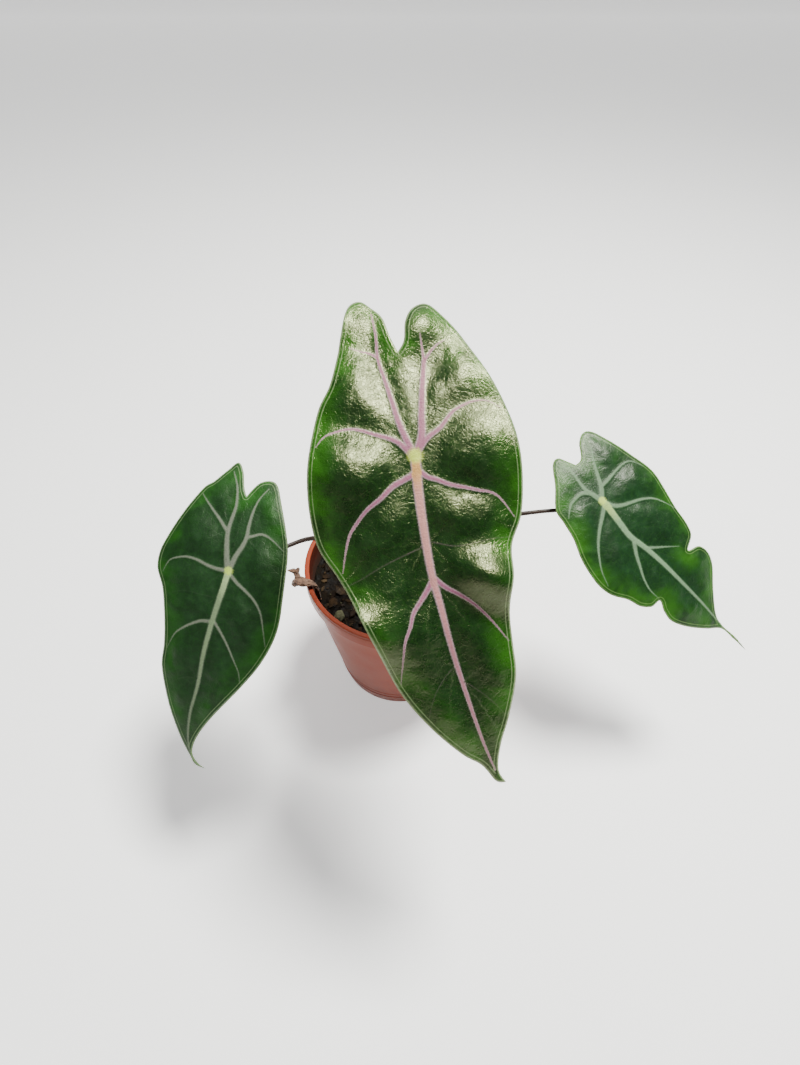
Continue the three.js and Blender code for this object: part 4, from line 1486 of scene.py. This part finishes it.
@dataclass(frozen=True)
class BladeShape:
    """A blade drawn flat as seen from above: stalk at 0, 0, lobes at +Y and tip at -Y."""

    name: str
    node: str
    slot: Slot
    place: Place
    turn: float
    rise: float
    swing: float
    tip_bend: float
    lobe_bend: float
    side_bend: float
    quilt: float
    left_margin: tuple[Spot, ...]
    right_margin: tuple[Spot, ...]
    veins: tuple[Vein, ...]
    finish: BladeFinish
    lobe_straight: float = 60
    swells: tuple[Swell, ...] = ()

    def axes(self) -> tuple[Array, Array, Array]:
        """Gives the blade's own X, Y and outward directions.

        Returns:
            The three directions.
        """
        turn, rise, swing = (math.radians(angle) for angle in (self.turn, self.rise, self.swing))
        level = math.cos(rise)
        outward = np.array([math.sin(turn) * level, -math.cos(turn) * level, math.sin(rise)])
        uphill = unit(np.array([0.0, 0.0, 1.0]) - outward * outward[2])
        lobeward = uphill * math.cos(swing) + np.cross(outward, uphill) * math.sin(swing)
        return np.cross(lobeward, outward), lobeward, outward


@dataclass
class Blade:
    """Builds a blade: quilted between its veins, with ribs under them and a thin margin."""

    shape: BladeShape
    cell: float = 0.85
    thickness: float = 0.9
    groove_reach: float = 8
    margin_reach: float = 7
    margin_quilt: float = 0.4
    rib_top: float = 0.45
    rib_under: float = 1.4
    rib_foot: float = 0.8
    faint: float = 0.12
    vein_step: float = 1.2

    def __post_init__(self) -> None:
        """Draws the veins and the outline at fine steps."""
        self.paths = [evenly(smooth_line(vein.line, Spacing.UNIFORM), self.vein_step)[0]
                      for vein in self.shape.veins]
        left, right = (evenly(smooth_line(line, Spacing.UNIFORM), self.cell)[0]
                       for line in (self.shape.left_margin, self.shape.right_margin))
        self.outline = np.vstack([left, right[::-1][1:-1]])

    def rows(self) -> Array:
        """Draws rows of points along the veins, on their middles, edges and feet.

        Returns:
            The points, flat.
        """
        found = []
        for vein, path in zip(self.shape.veins, self.paths):
            path, shares = evenly(path, self.cell)
            way = unit(np.gradient(path, axis=0))
            across = np.column_stack([-way[:, 1], way[:, 0]])
            half = mixed(*vein.widths, shares)[:, None] / 2
            for side in (0, -1, 1):
                for beyond in (0,) if side == 0 else (0, 0.5, self.rib_foot + 0.3):
                    found.append(path + side * (half + beyond) * across)
        return np.vstack(found)

    def spots(self) -> Array:
        """Chooses the points of the mesh, the margin's first, none too near another.

        Returns:
            The points, flat.
        """
        low, high = self.outline.min(0), self.outline.max(0)
        rise = self.cell * math.sqrt(3) / 2
        grid = np.array([(x + (row % 2) * self.cell / 2, low[1] + row * rise)
                         for row in range(int((high[1] - low[1]) / rise) + 1)
                         for x in np.arange(low[0], high[0], self.cell)])
        kept: dict[tuple[int, int], list[Array]] = defaultdict(list)
        chosen = []
        for candidates, room, border in ((self.outline, 0, 0), (self.rows(), 0.4, 0.3),
                                         (grid, 0.62 * self.cell, 0.55 * self.cell)):
            if border:
                candidates = candidates[inside(candidates, self.outline)]
                closed = np.vstack([self.outline, self.outline[:1]])
                candidates = candidates[nearest(candidates, closed)[0] > border]
            for spot in candidates:
                column, row = int(spot[0] // self.cell), int(spot[1] // self.cell)
                near = (other for across in (-1, 0, 1) for up in (-1, 0, 1)
                        for other in kept.get((column + across, row + up), ()))
                if room and any(abs(spot[0] - other[0]) + abs(spot[1] - other[1]) < 1.3 * room
                                and math.hypot(*(spot - other)) < room for other in near):
                    continue
                kept[column, row].append(spot)
                chosen.append(spot)
        return np.array(chosen)

    def bent(self, spots: Array) -> Array:
        """Bends the blade down to its tip, lobes and sides, and puffs it up at its swells.

        Args:
            spots: The points, flat.

        Returns:
            The height of the blade's middle, before it is quilted.
        """
        shape = self.shape
        x, y = spots.T
        straight = np.minimum(y, shape.lobe_straight)
        lobes, tip = straight * (y - straight / 2) / shape.lobe_bend, y**2 / (2 * shape.tip_bend)
        height = -np.where(y > 0, lobes, tip) - x**2 / (2 * shape.side_bend)
        for swell in shape.swells:
            away = ((spots - swell.middle) ** 2).sum(1)
            height += swell.rise * np.exp(-away / swell.reach**2)
        return height

    def measured(self, spots: Array) -> dict[str, Array]:
        """Measures points against the veins, the margin and the joint.

        Args:
            spots: The points, flat.

        Returns:
            The height of the blade's middle and its relief, and the fields that the finish reads.
        """
        shape = self.shape
        margin = nearest(spots, np.vstack([self.outline, self.outline[:1]]))[0]
        raised = np.full(len(spots), float(shape.quilt))
        relief = np.zeros(len(spots))
        gap = np.full(len(spots), 99.0)
        width, run, clarity = np.zeros(len(spots)), np.zeros(len(spots)), np.zeros(len(spots))
        thickest = shape.veins[0].widths[0]
        for number, (vein, path) in enumerate(zip(shape.veins, self.paths)):
            distance, share = nearest(spots, path)
            wide = mixed(*vein.widths, share)
            raised *= 1 - vein.dip * (1 - 0.5 * share**2) * np.exp(-((distance / self.groove_reach) ** 2))
            slope = np.clip(1 - (distance / (wide / 2 + self.rib_foot)) ** 2, 0, 1)
            relief = np.maximum(relief, slope**1.5 * wide / thickest)
            closer = distance - wide / 2 < gap
            gap = np.where(closer, distance - wide / 2, gap)
            width = np.where(closer, wide, width)
            clarity = np.where(closer, 1.0 if vein.widths[0] > 1 else self.faint, clarity)
            length = np.linalg.norm(np.diff(path, axis=0), axis=1).sum()
            run = np.where(closer, share * length + 37 * number, run)
        middle, along_middle = nearest(spots, self.paths[0])
        inward = 1 - np.exp(-((margin / self.margin_reach) ** 2))
        clear = eased(gap, 0.3, 4) * eased(margin, 0.5, 5)
        puckers = 0.34 * rippled(spots, 8.5, shape.turn) + 0.16 * rippled(spots, 3.4, shape.turn + 5)
        pleats = 0.13 * rippled(np.column_stack([run, gap / 5]), 2.2, shape.rise) * eased(gap, 11, 4)
        return {
            "height": (raised * mixed(self.margin_quilt, 1, inward) + self.bent(spots)
                       + clear * (puckers + pleats)),
            "relief": relief,
            "vein_gap": gap,
            "vein_width": width,
            "vein_clarity": clarity,
            "margin_gap": margin,
            "midrib_gap": middle - mixed(*shape.veins[0].widths, along_middle) / 2,
            "joint_gap": np.hypot(*spots.T),
            "streak": np.column_stack([run, gap / 7, np.zeros(len(spots))]),
            "leaf": np.column_stack([spots, np.zeros(len(spots))]),
        }

    def build(self) -> bpy.types.Object:
        """Lays triangles over the blade's two faces and closes its margin.

        Returns:
            The blade.
        """
        spots = self.spots()
        ring = len(self.outline)
        edges = [(index, (index + 1) % ring) for index in range(ring)]
        result = delaunay_2d_cdt([Vector(spot) for spot in spots], edges, [], 1, 1e-5, False)
        spots = np.array([tuple(spot) for spot in result[0]])
        triangles = np.array([tuple(face) for face in result[2]])
        triangles = triangles[inside(spots[triangles].mean(1), self.outline)].tolist()
        found = self.measured(spots)
        half = self.thickness / 2 * mixed(0.4, 1, eased(found["margin_gap"], 0, 1.1))
        height, relief = found.pop("height"), found.pop("relief")
        across, lobeward, outward = self.shape.axes()
        flat = np.array(self.shape.place) + spots[:, :1] * across + spots[:, 1:] * lobeward
        upper = flat + (height + half + self.rib_top * relief)[:, None] * outward
        under = flat + (height - half - self.rib_under * relief)[:, None] * outward

        count = len(spots)
        wall = [(b, a, a + count, b + count) for a, b in open_edges(triangles)]
        turned_over = [(a + count, c + count, b + count) for a, b, c in triangles]
        shell = Shell(self.shape.name)
        shell.add(np.vstack([upper, under]), triangles + wall + turned_over,
                  **{name: np.concatenate([values, values]) for name, values in found.items()})
        shell.finishes = [0] * (len(triangles) + len(wall)) + [1] * len(triangles)
        finish = self.shape.finish
        return shell.built([finish.upper(), finish.lower()], self.shape.slot, self.shape.node)


@dataclass
class Petiole:
    """A stalk from its sheathing foot on the crown to the underside of a blade."""

    name: str
    node: str
    blade: BladeShape
    seat: float
    line: tuple[Place, ...]
    foot_radius: float = 3.5
    seat_radius: float = 4.4
    seat_height: float = 98.3
    stalk_radius: float = 1.9
    neck_radius: float = 1.15
    sheath_share: float = 0.3
    straight: float = 5
    below_blade: float = 1.7
    step: float = 1.3
    sides: int = 28
    finish: StalkFinish = StalkFinish()

    def seat_way(self) -> Array:
        """Gives the level direction from the crown's middle to the stalk's foot."""
        return np.array([math.cos(math.radians(self.seat)), math.sin(math.radians(self.seat)), 0.0])

    def path(self) -> Array:
        """Draws the stalk's middle line.

        Returns:
            The line's points, at even steps.
        """
        outward = self.blade.axes()[2]
        foot = self.seat_radius * self.seat_way() + [0, 0, self.seat_height]
        end = np.array(self.blade.place) - outward * self.below_blade
        bend = end - outward * self.straight
        points = [foot - [0, 0, 0.5], foot + [0, 0, 3], *self.line, bend, end]
        return evenly(smooth_line(points, Spacing.CENTRIPETAL), self.step)[0]

    def radius(self, share: Array, angle: Array) -> Array:
        """Gives the section's radius, grooved and winged where it sheathes the crown.

        Args:
            share: The share of the stalk's length.
            angle: The angle round it, from the side that faces the crown.

        Returns:
            The radius.
        """
        turn = np.abs(np.where(angle > math.pi, angle - 2 * math.pi, angle))
        in_sheath = np.clip(1 - share / self.sheath_share, 0, 1)
        stalk = mixed(self.stalk_radius, self.neck_radius, np.minimum(1, share * 1.4))
        collar = 0.55 * np.exp(-(((1 - share) / 0.018) ** 2))
        whole = mixed(stalk, self.foot_radius, in_sheath**1.5) + collar
        groove = 0.42 * np.exp(-((turn / 0.42) ** 2)) - 0.10 * np.exp(-(((turn - 0.85) / 0.2) ** 2))
        ribs = 0.02 * np.cos(9 * angle) * (1 - in_sheath)
        return whole * (1 - groove * in_sheath**0.5 + ribs)

    def build(self) -> bpy.types.Object:
        """Sweeps the stalk.

        Returns:
            The petiole.
        """
        path = self.path()
        rings = swept_rings(path, -self.seat_way(), self.sides, self.radius)
        shares = np.repeat(np.linspace(0, 1, len(path)), self.sides)
        turns = np.tile(round_angles(self.sides), len(path))
        run = self.step * np.repeat(np.arange(len(path)), self.sides)
        stalk = np.column_stack([2 * np.cos(turns), 2 * np.sin(turns), run])
        sheath = np.clip(1 - shares / self.sheath_share, 0, 1) ** 1.4
        shell = Shell(self.name)
        shell.loft(rings, stalk=np.vstack([stalk, np.zeros((2, 3))]),
                   sheath=np.concatenate([sheath, [1, 0]]))
        return shell.built([self.finish.material()], Slot.PETIOLE, self.node)


FRONT = BladeShape(
    name="front_leaf_blade", node="blade_front", slot=Slot.FRONT,
    place=(5.9, -63.3, 242.5), turn=3, rise=52, swing=11.2, tip_bend=360, lobe_bend=85, side_bend=300,
    quilt=3.4, lobe_straight=20,
    swells=(Swell((13, 54), 12, 4), Swell((-20, 66), 10, 4), Swell((-24, 40), 12, 1.8),
            Swell((42, 28), 12, 3.5), Swell((46, -6), 16, 5), Swell((-38, 6), 12, 3),
            Swell((-24, -8), 12, 2.5), Swell((12, -51), 10, 5), Swell((24, -57), 10, 6.5),
            Swell((-38, -59), 9, 8), Swell((-28, -69), 11, 6), Swell((-14, -62), 11, 2)),
    left_margin=((4, 45), (2.5, 52.5), (1.5, 62.5), (-2, 68.5), (-6, 72.5), (-11.5, 70), (-17, 58),
                 (-20.5, 49), (-26, 37), (-33, 27.5), (-39, 13.5), (-43.5, -1), (-45.5, -14.5),
                 (-45, -27), (-40.5, -39), (-37, -50), (-32, -69.5), (-27, -89), (-18.5, -106),
                 (-8.5, -120), (-1.5, -127), (3, -135.5), (7, -137)),
    right_margin=((4, 45), (7.5, 49), (10, 57), (14.5, 63), (21, 64.5), (26, 58), (31.5, 47),
                  (36.5, 28.5), (40, 13), (40.5, -2), (39, -18.5), (35.5, -32), (29, -42.5),
                  (26, -53), (22.5, -64), (21, -80.5), (19.5, -93.5), (14, -108), (8, -120),
                  (5, -130.5), (7, -137)),
    veins=(
        Vein((3.7, 0.6), 1, ((0, 0), (-2, -13.5), (-3.5, -29), (-4.5, -46.5), (-4, -59), (-3.5, -74),
                             (-2, -92), (0.5, -114), (3.5, -130.5))),
        Vein((2.5, 0.6), 1, ((-0.5, 1), (-2, 8.5), (-3, 15), (-3.5, 24.5), (-4, 33.5), (-4.5, 44.5),
                             (-3, 54.5), (-2.5, 65))),
        Vein((1.2, 0.4), 0.7, ((-4.5, 44.5), (-7, 47), (-11, 49), (-15, 51.5))),
        Vein((2.9, 1.8), 1, ((1, 1), (4.5, 7.5), (6.5, 15.5), (9.5, 26), (13.5, 38.5))),
        Vein((1.2, 0.4), 1, ((13.5, 38.5), (14, 43.5), (14.5, 50))),
        Vein((1.3, 0.4), 1, ((13.5, 38.5), (17, 42), (20.5, 44.5), (24.5, 46))),
        Vein((2.2, 0.3), 1, ((1.5, 1.5), (6.5, 6), (12.5, 9), (18.5, 14), (24, 16), (29, 16.5),
                             (34, 15), (38, 11))),
        Vein((2.2, 0.3), 1, ((-1.5, 1), (-4.5, 6), (-8, 9), (-13.5, 12), (-18.5, 15), (-23, 16.5),
                             (-28, 16.5), (-33, 15.5), (-37, 12))),
        Vein((2.2, 0.3), 1, ((-2, -7), (-7, -8.5), (-11.5, -10), (-17, -13.5), (-23, -16.5),
                             (-27.5, -20), (-32, -24.5), (-35, -30.5), (-38, -38))),
        Vein((2, 0.3), 1, ((-0.5, -5), (2.5, -9), (6, -11), (10.5, -14), (16, -16.5), (21.5, -19),
                           (26, -21), (29, -24.5), (32.5, -32))),
        Vein((2, 0.2), 1, ((-4.5, -48.5), (-8, -52.5), (-11, -55.5), (-15, -59.5), (-17.5, -64.5),
                           (-20.5, -69), (-22.5, -74.5), (-26, -85.5))),
        Vein((1.8, 0.3), 1, ((-4, -48), (-0.5, -52.5), (3.5, -56), (8, -60.5), (11.5, -65),
                             (15, -70.5), (19.5, -79))),
        Vein((0.5, 0.2), 0.7, ((-1, -34.5), (7, -38), (15, -38.5), (22.5, -38.5), (29.5, -39.5))),
        Vein((0.5, 0.2), 0.6, ((-6, -35.5), (-13.5, -37), (-22, -39), (-31.5, -42), (-38, -43.5))),
        Vein((0.4, 0.2), 0.5, ((-3.5, -83.5), (-9.5, -88), (-14.5, -94), (-18.5, -102))),
        Vein((0.4, 0.2), 0.5, ((-2, -90), (2.5, -94.5), (7.5, -100.5), (12, -108))),
    ),
    finish=BladeFinish(
        "front_blade", deep=(0.0045, 0.019, 0.0045), fresh=(0.014, 0.072, 0.004),
        vein=(0.24, 0.088, 0.145), vein_edge=(0.36, 0.25, 0.28), midrib=(0.42, 0.20, 0.18),
        midrib_foot=(0.44, 0.24, 0.08), joint=(0.42, 0.50, 0.08), margin=(0.20, 0.27, 0.13)),
)

LEFT = BladeShape(
    name="left_leaf_blade", node="blade_left", slot=Slot.LEFT,
    place=(-85.5, -54.6, 161.5), turn=-14, rise=52, swing=0.2, tip_bend=260, lobe_bend=110, side_bend=220,
    quilt=2.4,
    left_margin=((-2, 39), (-5, 43.5), (-9, 52), (-14, 57), (-18, 51.5), (-22.5, 44.5), (-27, 40),
                 (-32, 28.5), (-37.5, 13.5), (-40.5, 3.5), (-40, -5.5), (-34.5, -15), (-30.5, -28.5),
                 (-28.5, -42), (-28, -54), (-22.5, -71), (-15.5, -86), (-10.5, -94.5), (-8, -98),
                 (-5, -102), (1, -103)),
    right_margin=((-2, 39), (-0.5, 42.5), (2.5, 47.5), (7.5, 49.5), (12, 47.5), (17.5, 38),
                  (24, 24.5), (28, 12), (30, -8), (30, -25), (25, -41), (16, -56), (2, -75.5),
                  (-5, -87.5), (-7, -96), (-3.5, -101), (1, -103)),
    veins=(
        Vein((3.5, 0.8), 1, ((0, 0), (-1, -9), (-2.5, -19), (-4, -29.5), (-5.5, -43.5), (-6.5, -59.5),
                             (-9, -74.5), (-9.5, -87), (-8, -96.5))),
        Vein((3, 0.5), 1, ((-1, 1.5), (-3.5, 10), (-5.5, 19), (-5.5, 26.5), (-5.5, 33.5), (-8.5, 43),
                           (-14, 51.5))),
        Vein((1.8, 0.5), 1, ((-5.5, 19), (-11.5, 24.5), (-17, 29), (-26, 36.5))),
        Vein((2.8, 0.5), 1, ((0.5, 1.5), (2, 8), (4, 13), (5, 18), (4.5, 24.5), (4.5, 31.5),
                             (5.5, 38.5), (8.5, 45))),
        Vein((1.6, 0.4), 1, ((5, 18), (8.5, 19.5), (12, 21), (16.5, 20), (21, 17.5), (25.5, 14.5))),
        Vein((2, 0.4), 1, ((-0.5, 0), (-7, 0), (-12.5, 1), (-18, 2.5), (-23.5, 3), (-28.5, 2),
                           (-33.5, -0.5), (-36, -6.5))),
        Vein((1.8, 0.4), 1, ((0.5, -1), (5.5, -5), (10.5, -8), (15.5, -11.5), (19.5, -16),
                             (22, -21.5), (25.5, -33))),
        Vein((1.8, 0.3), 1, ((-4, -26.5), (-9.5, -27), (-14.5, -29.5), (-19, -32.5), (-23, -36.5),
                             (-26, -44))),
        Vein((1.5, 0.4), 1, ((-3, -25.5), (2.5, -31.5), (6.5, -36.5), (10.5, -42.5), (14, -48),
                             (15.5, -53.5))),
        Vein((0.4, 0.2), 0.5, ((-2, -14.5), (-12, -14), (-22, -14), (-31, -17.5))),
        Vein((0.4, 0.2), 0.5, ((-6.5, -56), (-13, -56.5), (-19, -59.5), (-24, -64))),
    ),
    finish=BladeFinish(
        "left_blade", deep=(0.0085, 0.027, 0.0085), fresh=(0.011, 0.070, 0.004), vein=(0.12, 0.135, 0.10),
        vein_edge=(0.16, 0.19, 0.14), midrib=(0.14, 0.195, 0.105), midrib_foot=(0.25, 0.34, 0.16),
        joint=(0.36, 0.48, 0.08), margin=(0.16, 0.23, 0.11), margin_glow=0.7, fuzz=0.5, vein_blur=0.45,
        creases=0.6, gloss=0.24, glint=(0.9, 1.0, 0.8), roughness=0.4, joint_size=2.9, seed=31.0),
)

RIGHT = BladeShape(
    name="right_leaf_blade", node="blade_right", slot=Slot.RIGHT,
    place=(111.1, -7.4, 164.7), turn=10, rise=55, swing=35.1, tip_bend=260, lobe_bend=110, side_bend=220,
    quilt=3,
    left_margin=((4.5, 24), (3, 28), (0.5, 33.5), (-4.5, 32.5), (-13, 23.5), (-22.5, 14), (-24.5, 6),
                 (-27, -4), (-31, -14), (-33, -23.5), (-33.5, -33), (-31.5, -41), (-26.5, -49),
                 (-23.5, -56.5), (-18.5, -61.5), (-12.5, -62.5), (-14.5, -68.5), (-14.5, -76),
                 (-9, -85.5), (0, -95.5), (8.5, -103.5), (11.5, -114), (15, -127)),
    right_margin=((4.5, 24), (9.5, 24.5), (16.5, 31.5), (23, 34), (27, 31), (29.5, 22), (33, 6.5),
                  (35.5, -7), (33.5, -19.5), (31, -31.5), (29.5, -43), (27, -49.5), (19.5, -54),
                  (26.5, -57), (29, -63.5), (26.5, -71), (17.5, -82), (10.5, -94), (10, -102.5),
                  (13, -114.5), (15, -127)),
    veins=(
        Vein((4.1, 0.8), 1, ((0, 0), (-0.5, -7), (-1.5, -16), (-2, -25), (0.5, -36), (2.5, -49),
                             (4.5, -66), (7, -84), (9.5, -102.5))),
        Vein((3, 0.4), 1, ((-0.5, 1), (-1.5, 6), (-2.5, 10.5), (-1.5, 17), (-0.5, 22), (-1, 27),
                           (-3, 30))),
        Vein((2.2, 0.6), 1, ((-1.5, 7), (-5.5, 10.5), (-10, 11), (-15.5, 10), (-21, 6))),
        Vein((3, 0.6), 1, ((1, 1.5), (5, 5.5), (9, 12), (13.5, 19), (18.5, 25))),
        Vein((1.9, 0.4), 1, ((5.5, 6), (11.5, 6), (17.5, 6.5), (24, 6.5), (29.5, 4.5), (33, -2.5))),
        Vein((2.5, 0.4), 1, ((1, -2.5), (3, -6.5), (7, -9.5), (12.5, -12), (18.5, -15), (23.5, -19),
                             (27, -24.5), (30, -31.5))),
        Vein((2.5, 0.4), 1, ((-1, -2.5), (-7, -6.5), (-12.5, -10), (-18.5, -15), (-23.5, -21),
                             (-27.5, -27.5), (-30, -35.5))),
        Vein((1.8, 0.4), 1, ((0, -35), (5.5, -39.5), (10.5, -43.5), (16.5, -48.5))),
        Vein((2.5, 0.4), 1, ((-2, -27.5), (-6.5, -34.5), (-9, -40), (-12, -46.5), (-13.5, -53.5),
                             (-12.5, -61))),
        Vein((0.5, 0.2), 0.5, ((-1, -21), (5, -23), (11, -26.5), (17, -31))),
    ),
    finish=BladeFinish(
        "right_blade", deep=(0.006, 0.027, 0.0075), fresh=(0.018, 0.082, 0.005), vein=(0.12, 0.19, 0.11),
        vein_edge=(0.16, 0.24, 0.15), midrib=(0.145, 0.235, 0.13), midrib_foot=(0.27, 0.38, 0.13),
        joint=(0.42, 0.54, 0.11), margin=(0.15, 0.25, 0.08), fuzz=0.4, vein_blur=0.45, creases=0.6,
        gloss=0.3, glint=(0.95, 1.0, 0.85), roughness=0.36, joint_size=2.9, seed=57.0),
)

STALKS = (
    Petiole("front_stalk", "petiole_front", FRONT, -90, ((3, -6, 135), (4, -20, 175), (5, -41, 213))),
    Petiole("left_stalk", "petiole_left", LEFT, 150,
            ((-9, -1, 109), (-22, -9, 126), (-46.5, -22, 150.5), (-60.5, -32.5, 155.2),
             (-78, -46.5, 155.5))),
    Petiole("right_stalk", "petiole_right", RIGHT, 30,
            ((9, 1.5, 110), (30, -2, 134), (57, -4.5, 149), (78, -5, 154), (101, -4.5, 156.5))),
)


def report(piece: bpy.types.Object) -> None:
    """Logs what a piece measures.

    Args:
        piece: The piece.
    """
    corners = np.array([tuple(vertex.co) for vertex in piece.data.vertices]) / MM
    size = corners.max(0) - corners.min(0)
    log.info("%s: %d faces, %.0f x %.0f x %.0f mm", piece.name, len(piece.data.polygons), *size)


def main() -> None:
    """Builds the plant in its pot, and logs the size of each dressed piece."""
    logging.basicConfig(level=logging.INFO, format="%(message)s", stream=sys.stdout)
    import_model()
    Studio().set_up()
    pot = NurseryPot()
    blades = [Blade(shape) for shape in (FRONT, LEFT, RIGHT)]
    for part in (pot, PottingMix(pot), Crown(), DrySheath(), WitheredLeaf(), *STALKS, *blades):
        report(part.build())


if __name__ == "__main__":
    main()
